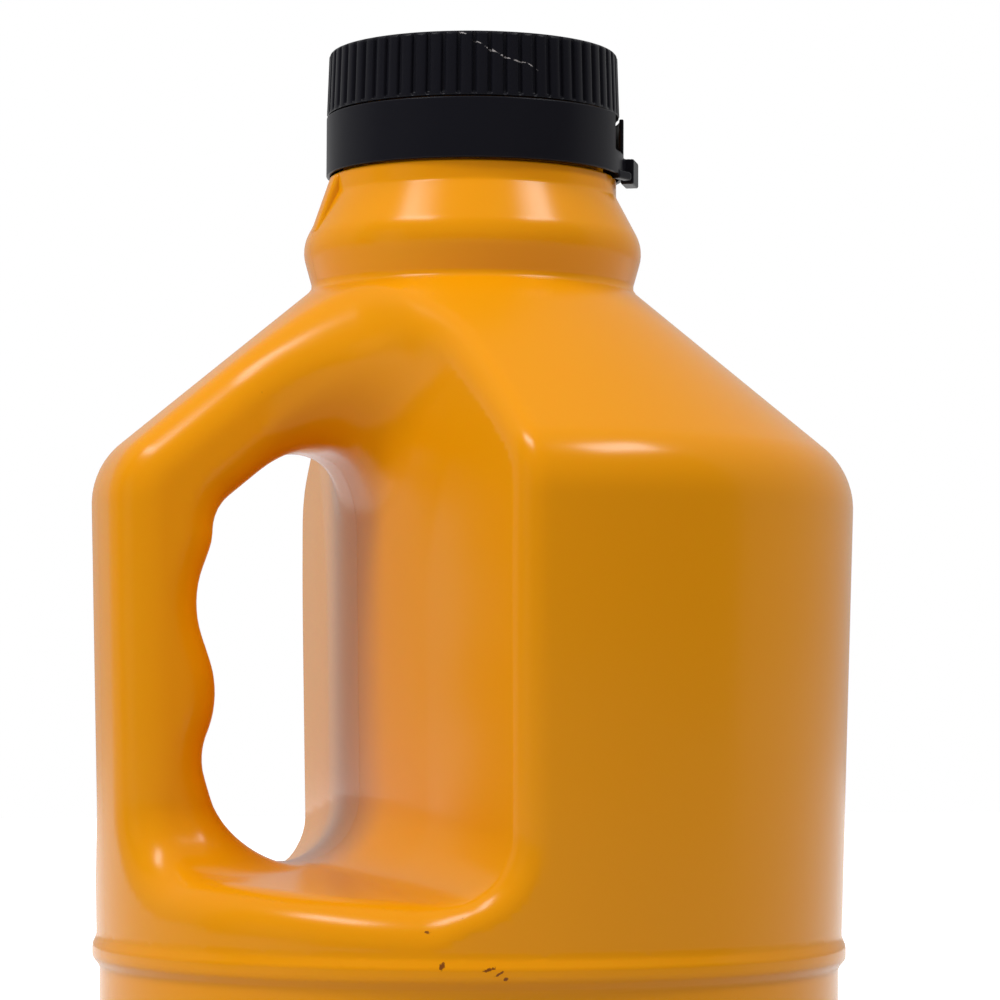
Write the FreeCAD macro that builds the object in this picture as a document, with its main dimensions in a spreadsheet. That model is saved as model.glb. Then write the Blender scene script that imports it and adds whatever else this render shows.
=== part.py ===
import FreeCAD, Part
import math
import os

import Sketcher

# One-gallon blow-moulded jug for a rust converter: a round body with a pinched through handle,
# a ribbed screw cap on a wide threaded neck, and a tear-off band under the cap.
# Frame: +Z up, origin on the floor under the middle of the base, the handle towards -X and the
# parting plane of the mould at y = 0. Millimetres.

# Driving dimensions: alias, value, meaning. The cells hold plain numbers (mm, degrees, counts).
SIZES = [
    ("wall", 1.0, "blown wall"),
    ("foot_inset", 3.3, "how much smaller the body is at the foot than at the shoulder"),
    ("foot_round", 9.0, "round between the body and the base"),
    ("ring_width", 17.0, "standing ring with its outer round"),
    ("ring_rise_width", 8.0, "width of the rise from the standing ring to the base panel"),
    ("push_up", 5.0, "height of the raised base panel"),
    ("push_round", 3.0, "rounds of the raised base panel"),
    ("lower_roll_height", 22.0, "height of the lower roll"),
    ("upper_roll_height", 98.0, "height of the upper roll"),
    ("roll_width", 7.4, "width of a roll"),
    ("roll_proud", 1.5, "how far a roll stands out"),
    ("roll_round", 1.6, "rounds of a roll"),
    ("waist_inset", 2.9, "how much smaller the body is at the upper roll than at the shoulder"),
    ("shoulder_radius", 86.3, "body radius at the sharp shoulder corner"),
    ("shoulder_round", 17.4, "round of the shoulder"),
    ("cone_slope", 39.4, "slope of the shoulder cone"),
    ("overrun", 10.0, "how far the cutting outlines reach past the body"),
    ("neck_step", 7.1, "how far the neck's foot stands out from the finish"),
    ("neck_height", 248.0, "height where the neck meets the cone"),
    ("neck_round", 2.0, "hollow round at the neck"),
    ("bulge_step", 9.7, "how far the sharp corner of the neck bulge stands out from the finish"),
    ("bulge_rise", 9.0, "height of that corner above the neck's foot"),
    ("bulge_round", 9.0, "round of the bulge"),
    ("collar_step", 3.0, "how far the collar under the tear band stands out from the finish"),
    ("collar_rise", 20.8, "bottom of the collar above the neck's foot"),
    ("collar_thick", 3.4, "thickness of the collar"),
    ("finish_radius", 29.6, "outside of the neck finish at the thread roots"),
    ("finish_wall", 2.4, "wall of the neck finish"),
    ("finish_tall", 26.2, "height of the neck finish above the collar"),
    ("lip_round", 0.8, "rounds of the lip"),
    ("lock_step", 2.6, "how far the bead that holds the tear band stands out"),
    ("lock_rise", 10.8, "top of the locking bead above the collar"),
    ("lock_width", 3.2, "width of the locking bead"),
    ("pinch_inset", 10.7, "how far the pinch wall lies inside the neck's foot, at the pinch floor"),
    ("pinch_lean", 1.2, "draft of the pinch wall, outwards towards the top"),
    ("pinch_flare", 8.6, "slope of the pinch wall away from the parting plane"),
    ("pinch_bow", 348.0, "radius of the pinch wall's bow"),
    ("ledge_rise", 21.0, "pinch floor above the upper roll, in the parting plane"),
    ("pinch_fall", 6.8, "slope of the pinch floor away from the parting plane"),
    ("pinch_crown", 358.0, "radius of the pinch floor's crown"),
    ("pinch_corner", 10.0, "round between the pinch wall and floor"),
    ("edge_round", 6.5, "round of the handle's outer edges and the pinch's edges"),
    ("handle_width", 34.0, "handle thickness across the parting plane"),
    ("finger_round", 8.0, "rounds along the finger side of the handle"),
    ("arm_depth", 24.5, "depth of the handle arm square to the cone"),
    ("arm_blend", 17.0, "hollow round between the arm and the pinch wall"),
    ("root_blend", 14.0, "hollow round between the column and the pinch floor"),
    ("column_depth", 26.3, "depth of the handle column at its finger ridges"),
    ("grip_swing", 6.2, "how much further out the finger hollows lie"),
    ("grip_pitch", 19.0, "distance between a ridge and the next hollow"),
    ("grip_round", 26.0, "rounds of the ridges and hollows"),
    ("grip_corner", 15.0, "round where the column meets the arm"),
    ("foot_swing", 3.5, "how much further out the column's foot lies than its ridges"),
    ("grip_sink", 16.0, "how far below the pinch floor the column's outline ends"),
    ("web_width", 5.5, "thickness of the web behind the collar"),
    ("web_proud", 2.3, "how far the web stands out at its top"),
    ("web_sink", 1.5, "how far the web's foot lies inside the bulge's corner"),
    ("web_rise", 3.0, "height of the web's foot above the bulge's corner"),
    ("thread_pitch", 4.2, "lead of the neck thread"),
    ("thread_turns", 1.75, "turns of the neck thread"),
    ("thread_depth", 1.3, "height of the thread"),
    ("thread_crest", 1.0, "width of the thread's crest"),
    ("thread_root", 2.2, "width of the thread's root"),
    ("thread_drop", 11.5, "neck thread's lower end below the top of the finish"),
    ("cap_turns", 1.25, "turns of the cap's thread"),
    ("thread_bury", 0.2, "how far a thread is rooted in its wall"),
    ("thread_play", 0.3, "clearance between the two threads"),
    ("thread_lift", 0.25, "how far the cap's thread lies above the middle of the gap"),
    ("cap_wall", 1.6, "wall of the cap at its top"),
    ("cap_flare", 0.5, "how much wider the cap is at the tear line"),
    ("cap_plate", 1.8, "thickness of the cap's top"),
    ("cap_round", 1.2, "round of the cap's top edge"),
    ("rib_count", 60, "grip ribs of the cap"),
    ("groove_depth", 0.7, "depth of the grooves between the ribs"),
    ("groove_width", 1.2, "width of the grooves"),
    ("liner_thick", 1.1, "thickness of the foam liner"),
    ("liner_edge", 0.6, "clearance round the liner's edge"),
    ("liner_play", 0.1, "clearance over and under the liner"),
    ("keeper_reach", 0.6, "how far the liner keeper reaches under the liner"),
    ("keeper_width", 0.7, "width of the liner keeper"),
    ("tear_gap", 0.3, "gap of the tear line"),
    ("band_tall", 15.2, "height of the tear band"),
    ("band_wall", 1.0, "wall of the tear band"),
    ("band_play", 0.6, "clearance of the band round the locking bead"),
    ("band_seat", 0.3, "clearance of the band over the collar"),
    ("band_lip", 1.3, "inward lip that catches under the locking bead"),
    ("band_lip_width", 1.6, "width of that lip"),
    ("window_width", 10.0, "window in the tear band"),
    ("window_tall", 9.4, "height of the window"),
    ("window_turn", -28.0, "place of the window round the neck"),
    ("tab_turn", -19.0, "root of the pull tab round the neck"),
    ("tab_length", 12.0, "length of the pull tab"),
    ("tab_tall", 6.0, "height of the pull tab"),
    ("tab_thick", 1.5, "thickness of the pull tab"),
    ("tab_spread", 14.0, "turn of the pull tab away from the band"),
]

# Radii and heights that follow from those sizes, so that what fits together moves together.
FOOT = "(shoulder_radius - foot_inset)"
WAIST = "(shoulder_radius - waist_inset)"
RING_INNER = f"({FOOT} - ring_width)"
PANEL_EDGE = f"({RING_INNER} - ring_rise_width)"
RIDGE = "(shoulder_radius - column_depth)"
PINCH_FLOOR = "(upper_roll_height + ledge_rise)"
NECK = "(finish_radius + neck_step)"
PINCH_DEPTH = f"({NECK} - pinch_inset)"
ARM_RUN = f"(({RIDGE} - {PINCH_DEPTH}) / cos(cone_slope) - grip_corner / 2)"
ARM_ROOM = f"{ARM_RUN} * tan(45 - cone_slope / 2)"
BULGE = "(finish_radius + bulge_step)"
BULGE_HEIGHT = "(neck_height + bulge_rise)"
COLLAR = "(finish_radius + collar_step)"
COLLAR_BOTTOM = "(neck_height + collar_rise)"
COLLAR_TOP = f"({COLLAR_BOTTOM} + collar_thick)"
FINISH_TOP = f"({COLLAR_TOP} + finish_tall)"
BORE = "(finish_radius - finish_wall)"
LOCK = "(finish_radius + lock_step)"
LOCK_TOP = f"({COLLAR_TOP} + lock_rise)"
THREAD_START = f"({FINISH_TOP} - thread_drop)"
BAND_FOOT = f"({COLLAR_TOP} + band_seat)"
TEAR_HEIGHT = f"({BAND_FOOT} + band_tall)"
BAND = f"({LOCK} + band_play + band_wall)"
LINER_UNDER = f"({FINISH_TOP} + liner_play)"
LINER_TOP = f"({LINER_UNDER} + liner_thick)"
PLATE_UNDER = f"({LINER_TOP} + liner_play)"
CAP_TOP = f"({PLATE_UNDER} + cap_plate)"
CAP_FOOT = f"({TEAR_HEIGHT} + tear_gap)"
CAP_BORE = "(finish_radius + thread_depth + thread_play)"
CAP_TOP_RADIUS = f"({CAP_BORE} + cap_wall)"
CAP_FOOT_RADIUS = f"({CAP_TOP_RADIUS} + cap_flare)"
LINER = f"({CAP_BORE} - liner_edge)"

doc = FreeCAD.newDocument("Jug")
sheet = doc.addObject("Spreadsheet::Sheet", "Sizes")
for row, (alias, size, meaning) in enumerate(SIZES, 1):
    sheet.set(f"A{row}", alias)
    sheet.set(f"B{row}", str(size))
    sheet.setAlias(f"B{row}", alias)
    sheet.set(f"C{row}", meaning)
doc.recompute()

ALIASES = {alias for alias, _, _ in SIZES}


def bound(text):
    """The expression text with each alias written as the sheet's own cell."""
    words = []
    word = ""
    for sign in str(text) + " ":
        if sign.isalnum() or sign == "_":
            word += sign
            continue
        words.append(f"Sizes.{word}" if word in ALIASES else word)
        words.append(sign)
        word = ""
    return "".join(words).strip()


def value(text):
    """The number that an expression gives now."""
    return float(sheet.evalExpression(bound(text)))


def new_body(name):
    """An empty body."""
    return doc.addObject("PartDesign::Body", name)


def new_sketch(body, plane, name):
    """A sketch on one of the body's own origin planes."""
    sketch = body.newObject("Sketcher::SketchObject", name)
    base = next(item for item in body.Origin.OriginFeatures if item.Role == plane)
    sketch.AttachmentSupport = [(base, "")]
    sketch.MapMode = "FlatFace"
    return sketch


def outline(sketch, corners):
    """Closes an outline through corners (across, up) or (across, up, round), all expressions."""
    points = [FreeCAD.Vector(value(c[0]), value(c[1]), 0) for c in corners]
    count = len(corners)
    leave, arrive = list(points), list(points)
    arcs, lefts = {}, {}
    for i, corner in enumerate(corners):
        if len(corner) == 2:
            continue
        back = (points[i - 1] - points[i]).normalize()
        ahead = (points[(i + 1) % count] - points[i]).normalize()
        half = back.getAngle(ahead) / 2
        radius = value(corner[2])
        arrive[i] = points[i] + back * (radius / math.tan(half))
        leave[i] = points[i] + ahead * (radius / math.tan(half))
        middle = points[i] + (back + ahead).normalize() * (radius / math.sin(half))
        nearest = middle + (points[i] - middle).normalize() * radius
        arcs[i] = Part.Arc(arrive[i], nearest, leave[i])
        lefts[i] = ahead.cross(back).z > 0
    lines = [
        sketch.addGeometry(Part.LineSegment(leave[i], arrive[(i + 1) % count]))
        for i in range(count)
    ]
    for i, corner in enumerate(corners):
        before, after = lines[i - 1], lines[i]
        if i in arcs:
            arc = sketch.addGeometry(arcs[i])
            spot = sketch.addGeometry(Part.Point(points[i]), True)
            first, last = (1, 2) if lefts[i] else (2, 1)
            sketch.addConstraint(Sketcher.Constraint("Tangent", before, 2, arc, first))
            sketch.addConstraint(Sketcher.Constraint("Tangent", arc, last, after, 1))
            sketch.addConstraint(Sketcher.Constraint("PointOnObject", spot, 1, before))
            sketch.addConstraint(Sketcher.Constraint("PointOnObject", spot, 1, after))
            size = sketch.addConstraint(Sketcher.Constraint("Radius", arc, value(corner[2])))
            sketch.setExpression(f"Constraints[{size}]", bound(corner[2]))
            place = (spot, 1)
        else:
            sketch.addConstraint(Sketcher.Constraint("Coincident", before, 2, after, 1))
            place = (after, 1)
        for kind, text in (("DistanceX", corner[0]), ("DistanceY", corner[1])):
            far = sketch.addConstraint(Sketcher.Constraint(kind, -1, 1, *place, value(text)))
            sketch.setExpression(f"Constraints[{far}]", bound(text))


def feature(body, kind, name, sketch, **settings):
    """A sketch-based feature; a text setting is bound to the sheet, any other is set as it is."""
    item = body.newObject(f"PartDesign::{kind}", name)
    item.Profile = sketch
    for key, setting in settings.items():
        if key in ("Length", "Angle", "Pitch", "Height", "Turns"):
            setattr(item, key, value(setting))
            item.setExpression(key, bound(setting))
        else:
            setattr(item, key, setting)
    body.Tip = item
    doc.recompute()
    return item


def turned(body, name, corners, cut=False):
    """Turns an outline in the XZ plane about Z, adding it or cutting it away."""
    sketch = new_sketch(body, "XZ_Plane", f"{name}_outline")
    outline(sketch, corners)
    kind = "Groove" if cut else "Revolution"
    return feature(body, kind, name, sketch, ReferenceAxis=(sketch, ["V_Axis"]), Angle="360")


def slab(body, name, plane, corners, thick, cut=False):
    """Pads or pockets an outline evenly to both sides of its plane."""
    sketch = new_sketch(body, plane, f"{name}_outline")
    outline(sketch, corners)
    kind = "Pocket" if cut else "Pad"
    return feature(body, kind, name, sketch, SideType="Symmetric", Length=thick)


def rounded(body, name, wanted, radius):
    """Fillets the edges of the body's tip that the test wants."""
    tip = body.Tip
    shape = tip.Shape
    names = [f"Edge{i}" for i, edge in enumerate(shape.Edges, 1) if wanted(edge)]
    item = body.newObject("PartDesign::Fillet", name)
    item.Base = (tip, names)
    item.Radius = value(radius)
    item.setExpression("Radius", bound(radius))
    body.Tip = item
    doc.recompute()
    return item


# Bottle. The outside and the hollow have one description each: the hollow is the outside drawn
# again a wall further in, so both follow the same sizes.
CONE_FALL = "(1 - sin(cone_slope)) / cos(cone_slope)"
SLACK = 1.0  # mm by which the tests for edges allow for rounds and slopes
REACH = "(shoulder_radius + overrun)"


def roll(middle, radius, deep):
    """The four corners of a roll round the body."""
    return [
        (f"{radius} - {deep}", f"{middle} - roll_width / 2", "roll_round"),
        (f"{radius} + roll_proud - {deep}", f"{middle} - roll_width / 5", "roll_round"),
        (f"{radius} + roll_proud - {deep}", f"{middle} + roll_width / 5", "roll_round"),
        (f"{radius} - {deep}", f"{middle} + roll_width / 2", "roll_round"),
    ]


def turned_skin(name, deep, finish):
    """The round body and neck up to the bulge, and the given corners of the finish above it."""
    body = new_body(name)
    shoulder_height = f"neck_height - (shoulder_radius - {NECK}) * tan(cone_slope)"
    corners = [
        ("0", f"push_up + {deep}"),
        (f"{PANEL_EDGE} + {deep} / 3", f"push_up + {deep}", "push_round"),
        (f"{RING_INNER} + {deep} / 3", f"{deep}", "push_round"),
        (f"{FOOT} - {deep}", f"{deep}", f"foot_round - {deep}"),
        *roll("lower_roll_height", FOOT, deep),
        *roll("upper_roll_height", WAIST, deep),
        (
            f"shoulder_radius - {deep}",
            f"{shoulder_height} - {deep} * {CONE_FALL}",
            f"shoulder_round - {deep}",
        ),
        (f"{NECK} - {deep}", f"neck_height - {deep} * {CONE_FALL}", f"neck_round + {deep}"),
        (f"{BULGE} - {deep}", BULGE_HEIGHT, f"bulge_round - {deep}"),
    ]
    turned(body, f"{name}_turned", corners + finish)
    return body


def arm_line(across, below):
    """Height of a line parallel to the cone, so far below it, at a distance from the axis."""
    return (
        f"neck_height - ({across} - {NECK}) * tan(cone_slope) - ({below}) / cos(cone_slope)"
    )


def pinch(name, deep):
    """The two pinches as one space: in front of their wall and above their floor."""
    body = new_body(name)
    depth = f"{PINCH_DEPTH} - {deep} - {PINCH_FLOOR} * tan(pinch_lean)"
    bow = f"(pinch_bow + {deep}) * (1 / cos(pinch_flare) - 1)"
    side = f"{REACH} * tan(pinch_flare) - ({depth}) - {bow}"
    plan = [
        (f"-({depth}) - {bow}", "0", f"pinch_bow + {deep}"),
        (side, REACH),
        (f"-{REACH}", REACH),
        (f"-{REACH}", f"-{REACH}"),
        (side, f"-{REACH}"),
    ]
    sketch = new_sketch(body, "XY_Plane", f"{name}_plan")
    outline(sketch, plan)
    pad = feature(body, "Pad", f"{name}_wall", sketch, Length="neck_height")
    pad.TaperAngle = -value("pinch_lean")
    pad.setExpression("TaperAngle", bound("-pinch_lean"))
    crown = f"(pinch_crown - {deep}) * (1 / cos(pinch_fall) - 1)"
    top = f"{PINCH_FLOOR} - {deep} + {crown}"
    low = f"{top} - 2 * {REACH} * tan(pinch_fall)"
    under = [
        ("0", top, f"pinch_crown - {deep}"),
        (f"-2 * {REACH}", low),
        (f"-2 * {REACH}", f"-{REACH}"),
        (f"2 * {REACH}", f"-{REACH}"),
        (f"2 * {REACH}", low),
    ]
    slab(body, f"{name}_floor", "YZ_Plane", under, f"4 * {REACH}", cut=True)
    floor_top = value(PINCH_FLOOR)
    behind = -value(f"{PINCH_DEPTH} + pinch_corner")

    def corner(edge):
        """True where the wall meets the floor."""
        box = edge.BoundBox
        return box.ZMax < floor_top and box.XMin > behind and box.YLength > SLACK

    rounded(body, f"{name}_corner", corner, f"pinch_corner + {deep}")
    return body


def air(name, deep):
    """What the pinches and the finger hole take out of the turned body, round the handle."""
    body = pinch(name, deep)
    under = f"arm_depth - {deep}"
    ridge = f"({RIDGE} + {deep})"
    hollow = f"({RIDGE} + grip_swing + {deep})"
    first = arm_line(ridge, under)
    hole = [
        ("0", arm_line("0", under)),
        (f"-{ridge}", first, f"grip_corner + {deep}"),
        (f"-{hollow}", f"{first} - grip_pitch", f"grip_round - {deep}"),
        (f"-{ridge}", f"{first} - 2 * grip_pitch", f"grip_round + {deep}"),
        (f"-{hollow}", f"{first} - 3 * grip_pitch", f"grip_round - {deep}"),
        (f"-({RIDGE} + foot_swing + {deep})", f"{PINCH_FLOOR} - grip_sink"),
        ("0", f"{PINCH_FLOOR} - grip_sink"),
    ]
    beyond = f"2 * {REACH}"
    frame = [
        (f"-{beyond}", "0"),
        (beyond, "0"),
        (beyond, "2 * neck_height"),
        (f"-{beyond}", "2 * neck_height"),
    ]
    sketch = new_sketch(body, "XZ_Plane", f"{name}_round_hole")
    outline(sketch, frame)
    outline(sketch, hole)
    thick = f"handle_width - 2 * {deep}"
    feature(body, "Pocket", f"{name}_handle", sketch, SideType="Symmetric", Length=thick)
    half = value(thick) / 2
    floor_top, top = value(PINCH_FLOOR), value("neck_height")
    wall = -value(f"{PINCH_DEPTH} + pinch_corner / 2")
    column = -value(RIDGE)
    outside = -value("shoulder_radius")

    def narrow(edge):
        """True for an edge that lies within the handle's thickness."""
        return max(-edge.BoundBox.YMin, edge.BoundBox.YMax) < half + 0.01

    def finger_side(edge):
        """True along the hole for the fingers, in a side face of the handle."""
        box = edge.BoundBox
        spot = edge.valueAt((edge.FirstParameter + edge.LastParameter) / 2)
        in_side = box.YLength < 0.01 and abs(abs(spot.y) - half) < 0.01
        along = outside < spot.x < wall and floor_top + SLACK < spot.z < top - SLACK
        return in_side and along

    def at_wall(edge):
        """True where the handle meets the pinch wall."""
        box = edge.BoundBox
        return narrow(edge) and box.XMin > wall and box.ZMin > floor_top + SLACK

    def at_floor(edge):
        """True where the handle meets the pinch floor."""
        box = edge.BoundBox
        return narrow(edge) and outside < box.XMax < column and box.ZMax < floor_top + SLACK

    rounded(body, f"{name}_fingers", finger_side, f"finger_round - {deep}")
    rounded(body, f"{name}_arm_blend", at_wall, f"min(arm_blend; {ARM_ROOM}) + {deep}")
    rounded(body, f"{name}_root_blend", at_floor, f"root_blend + {deep}")
    return body


def is_turned(face):
    """True for a face that goes round the jug's own axis."""
    surface = face.Surface
    if surface.TypeId not in ("Part::GeomCylinder", "Part::GeomCone", "Part::GeomToroid"):
        return False
    middle = surface.Center
    return abs(abs(surface.Axis.z) - 1) < 1e-6 and math.hypot(middle.x, middle.y) < 0.001


def joined(kind, name, **links):
    """A boolean of whole bodies."""
    item = doc.addObject(f"Part::{kind}", name)
    for key, link in links.items():
        setattr(item, key, link)
    doc.recompute()
    return item


def skin(name, deep, finish):
    """The turned body less the air of its pinches, with the edges between them rounded."""
    pinched = joined(
        "Cut",
        f"{name}_pinched",
        Base=turned_skin(f"{name}_body", deep, finish),
        Tool=air(f"{name}_air", deep),
    )
    softened = new_body(f"{name}_skin")
    softened.BaseFeature = pinched
    doc.recompute()
    shape = softened.Tip.Shape
    low, high = value(PINCH_FLOOR) / 2, value("neck_height")

    def pinch_edge(edge):
        """True where the air meets the turned body."""
        faces = shape.ancestorsOfType(edge, Part.Face)
        meets = len(faces) == 2 and is_turned(faces[0]) != is_turned(faces[1])
        return meets and low < edge.BoundBox.ZMin and edge.BoundBox.ZMax < high

    rounded(softened, f"{name}_edges", pinch_edge, f"edge_round - {deep}")
    return softened


OUTER_FINISH = [
    (COLLAR, COLLAR_BOTTOM, "neck_round"),
    (COLLAR, COLLAR_TOP),
    ("finish_radius", COLLAR_TOP),
    ("finish_radius", f"{LOCK_TOP} - lock_width"),
    (LOCK, f"{LOCK_TOP} - lock_width"),
    (LOCK, f"{LOCK_TOP} - lock_width / 2"),
    ("finish_radius", LOCK_TOP),
    ("finish_radius", FINISH_TOP, "lip_round"),
    ("0", FINISH_TOP),
]
INNER_FINISH = [
    (BORE, COLLAR_BOTTOM, "neck_round"),
    (BORE, f"{FINISH_TOP} + wall"),
    ("0", f"{FINISH_TOP} + wall"),
]


def thread(body, name, wall, crest, start, turns):
    """A helical ridge of the neck's lead from a wall to its crest, on the body's tip."""
    root = f"({wall} + thread_bury)" if value(wall) > value(crest) else f"({wall} - thread_bury)"
    sketch = new_sketch(body, "XZ_Plane", f"{name}_section")
    outline(
        sketch,
        [
            (root, f"{start} - thread_root / 2"),
            (crest, f"{start} - thread_crest / 2"),
            (crest, f"{start} + thread_crest / 2"),
            (root, f"{start} + thread_root / 2"),
        ],
    )
    return feature(
        body,
        "AdditiveHelix",
        name,
        sketch,
        ReferenceAxis=(sketch, ["V_Axis"]),
        Mode="pitch-turns-angle",
        Pitch="thread_pitch",
        Turns=turns,
    )


def bottle():
    """The blown jug with its hollow handle and threaded neck."""
    outer = skin("outer", "0", OUTER_FINISH)
    hollow = skin("hollow", "wall", INNER_FINISH)
    web = new_body("web")
    web_top = f"{COLLAR} + web_proud"
    web_foot = f"{BULGE_HEIGHT} + web_rise"
    corners = [
        ("-finish_radius", COLLAR_TOP),
        (f"-({web_top})", COLLAR_TOP),
        (f"-({BULGE} - web_sink)", web_foot),
        ("-finish_radius", web_foot),
    ]
    slab(web, "web_plate", "XZ_Plane", corners, "web_width")
    webbed = joined("Fuse", "webbed", Base=outer, Tool=web)
    blown = joined("Cut", "blown", Base=webbed, Tool=hollow)
    jug = new_body("jug")
    jug.BaseFeature = blown
    doc.recompute()
    crest = "finish_radius + thread_depth"
    thread(jug, "neck_thread", "finish_radius", crest, THREAD_START, "thread_turns")
    return jug


def patterned(body, name, original, count):
    """Repeats a feature evenly round Z."""
    item = body.newObject("PartDesign::PolarPattern", name)
    axis = next(item for item in body.Origin.OriginFeatures if item.Role == "Z_Axis")
    item.Originals = [original]
    item.Axis = (axis, [""])
    item.Angle = 360
    item.Occurrences = round(value(count))
    item.setExpression("Occurrences", bound(count))
    body.Tip = item
    doc.recompute()
    return item


def screw_cap():
    """The ribbed cap with its inner thread and the bead that keeps the liner in."""
    cap = new_body("cap")
    keeper_bore = f"{LINER} - keeper_reach"
    turned(
        cap,
        "cap_shell",
        [
            ("0", CAP_TOP),
            (CAP_TOP_RADIUS, CAP_TOP, "cap_round"),
            (CAP_FOOT_RADIUS, CAP_FOOT),
            (CAP_BORE, CAP_FOOT),
            (CAP_BORE, f"{FINISH_TOP} - 2 * keeper_width"),
            (keeper_bore, f"{FINISH_TOP} - keeper_width"),
            (keeper_bore, FINISH_TOP),
            (CAP_BORE, FINISH_TOP),
            (CAP_BORE, PLATE_UNDER),
            ("0", PLATE_UNDER),
        ],
    )
    below = f"{CAP_FOOT} - groove_depth"
    groove = slab(
        cap,
        "groove",
        "XZ_Plane",
        [
            (f"{CAP_FOOT_RADIUS} - groove_depth", below),
            (f"{CAP_FOOT_RADIUS} + groove_depth", below),
            (f"{CAP_TOP_RADIUS} + groove_depth", f"{CAP_TOP} - cap_round / 2"),
            (f"{CAP_TOP_RADIUS} - groove_depth", f"{CAP_TOP} - cap_round * 1.5"),
        ],
        "groove_width",
        cut=True,
    )
    patterned(cap, "grooves", groove, "rib_count")
    start = f"{THREAD_START} + thread_pitch / 2 + thread_lift"
    thread(cap, "cap_thread", CAP_BORE, "finish_radius + thread_play", start, "cap_turns")
    return cap


def turn_sketch(sketch, axis, turn):
    """Turns a sketch about an axis of its own plane's frame."""
    sketch.AttachmentOffset = FreeCAD.Placement(
        FreeCAD.Vector(), FreeCAD.Rotation(axis, value(turn))
    )
    sketch.setExpression("AttachmentOffset.Rotation.Angle", bound(turn))
    doc.recompute()


def one_sided(body, name, corners, turn, reach):
    """Cuts an outline, drawn across (tangent) and up, outwards on one side of the axis."""
    sketch = new_sketch(body, "YZ_Plane", f"{name}_outline")
    turn_sketch(sketch, FreeCAD.Vector(0, 1, 0), turn)
    outline(sketch, corners)
    return feature(body, "Pocket", name, sketch, Reversed=True, Length=reach)


def tear_band():
    """The tear-off band round the neck, with its window and pull tab."""
    band = new_body("band")
    inner = f"{BAND} - band_wall"
    catch = f"({LOCK_TOP} - lock_width - band_seat)"
    turned(
        band,
        "band_ring",
        [
            (inner, BAND_FOOT),
            (BAND, BAND_FOOT),
            (BAND, TEAR_HEIGHT),
            (inner, TEAR_HEIGHT),
            (inner, catch),
            (f"{inner} - band_lip", catch),
            (f"{inner} - band_lip", f"{catch} - band_lip_width / 2"),
            (inner, f"{catch} - band_lip_width"),
        ],
    )
    half = "window_width / 2"
    one_sided(
        band,
        "window",
        [
            (f"-{half}", f"{TEAR_HEIGHT} - window_tall"),
            (half, f"{TEAR_HEIGHT} - window_tall"),
            (half, f"{TEAR_HEIGHT} + band_wall"),
            (f"-{half}", f"{TEAR_HEIGHT} + band_wall"),
        ],
        "window_turn",
        f"2 * {BAND}",
    )
    sketch = new_sketch(band, "XY_Plane", "tab_plan")
    turn_sketch(sketch, FreeCAD.Vector(0, 0, 1), "tab_turn")
    sketch.setExpression("AttachmentOffset.Base.z", bound(f"{BAND_FOOT} + band_wall / 2"))
    root = f"({BAND} - band_wall / 2)"
    along = "tab_length * cos(tab_spread)"
    out = "tab_length * sin(tab_spread)"
    outline(
        sketch,
        [
            (root, "0"),
            (root, "-2 * tab_thick"),
            (f"{root} + tab_thick", "-tab_thick"),
            (f"{root} + tab_thick + {out}", along, "tab_thick / 3"),
            (f"{root} + {out}", along, "tab_thick / 3"),
        ],
    )
    feature(band, "Pad", "pull_tab", sketch, Length="tab_tall")
    return band


def cap_liner():
    """The foam disc that seals the lip."""
    liner = new_body("liner")
    turned(
        liner,
        "liner_disc",
        [
            ("0", LINER_UNDER),
            (LINER, LINER_UNDER),
            (LINER, LINER_TOP),
            ("0", LINER_TOP),
        ],
    )
    return liner


NODES = {
    "bottle": bottle(),
    "screw_cap": screw_cap(),
    "tear_band": tear_band(),
    "cap_liner": cap_liner(),
}
for label, item in NODES.items():
    item.Label = label
    item.Placement = FreeCAD.Placement()
doc.recompute()

for item in doc.Objects:
    if "Invalid" in item.State or "Error" in item.State:
        raise RuntimeError(f"{item.Name} failed: {item.State}")
for label, item in NODES.items():
    shape = item.Shape
    if shape.isNull() or not shape.isValid() or len(shape.Solids) != 1:
        raise RuntimeError(f"{label} isn't one valid solid")

os.makedirs("parts", exist_ok=True)
for label, item in NODES.items():
    item.Shape.exportStep(f"parts/{label}.step")
    print(label, "volume", round(item.Shape.Volume / 1000, 1), "cm3")
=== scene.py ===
"""Looks of a one-gallon blow-moulded jug for a rust converter: a round orange-yellow body with a
pinched through handle, a threaded neck, a ribbed black screw cap and a tear-off band under it."""

import logging
import math
from dataclasses import dataclass, field
from enum import Enum
from functools import cached_property

import bmesh
import bpy
import numpy as np
from mathutils import Matrix, Vector


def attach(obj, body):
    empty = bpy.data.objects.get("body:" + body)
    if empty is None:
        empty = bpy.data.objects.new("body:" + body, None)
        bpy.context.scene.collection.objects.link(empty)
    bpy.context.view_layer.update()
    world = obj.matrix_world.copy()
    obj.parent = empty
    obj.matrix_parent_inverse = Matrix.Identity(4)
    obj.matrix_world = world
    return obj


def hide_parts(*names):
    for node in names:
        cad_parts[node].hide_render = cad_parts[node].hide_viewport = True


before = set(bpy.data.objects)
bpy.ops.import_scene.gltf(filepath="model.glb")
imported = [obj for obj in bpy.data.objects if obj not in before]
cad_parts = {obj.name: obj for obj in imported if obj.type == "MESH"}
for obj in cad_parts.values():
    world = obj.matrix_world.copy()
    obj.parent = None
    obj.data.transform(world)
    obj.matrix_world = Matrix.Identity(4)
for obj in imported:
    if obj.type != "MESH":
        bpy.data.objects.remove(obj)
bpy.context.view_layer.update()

MM = 0.001
FAR_OFF = 1e9  # Farther than any point of a shape.
LEAST_SLOPE = 0.05  # Keeps a point's step finite where a distance is flat.
Array = np.ndarray
Pair = tuple[float, float]
Triple = tuple[float, float, float]
Colour = tuple[float, float, float, float]
Piece = bpy.types.Object
Socket = bpy.types.NodeSocket
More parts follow.
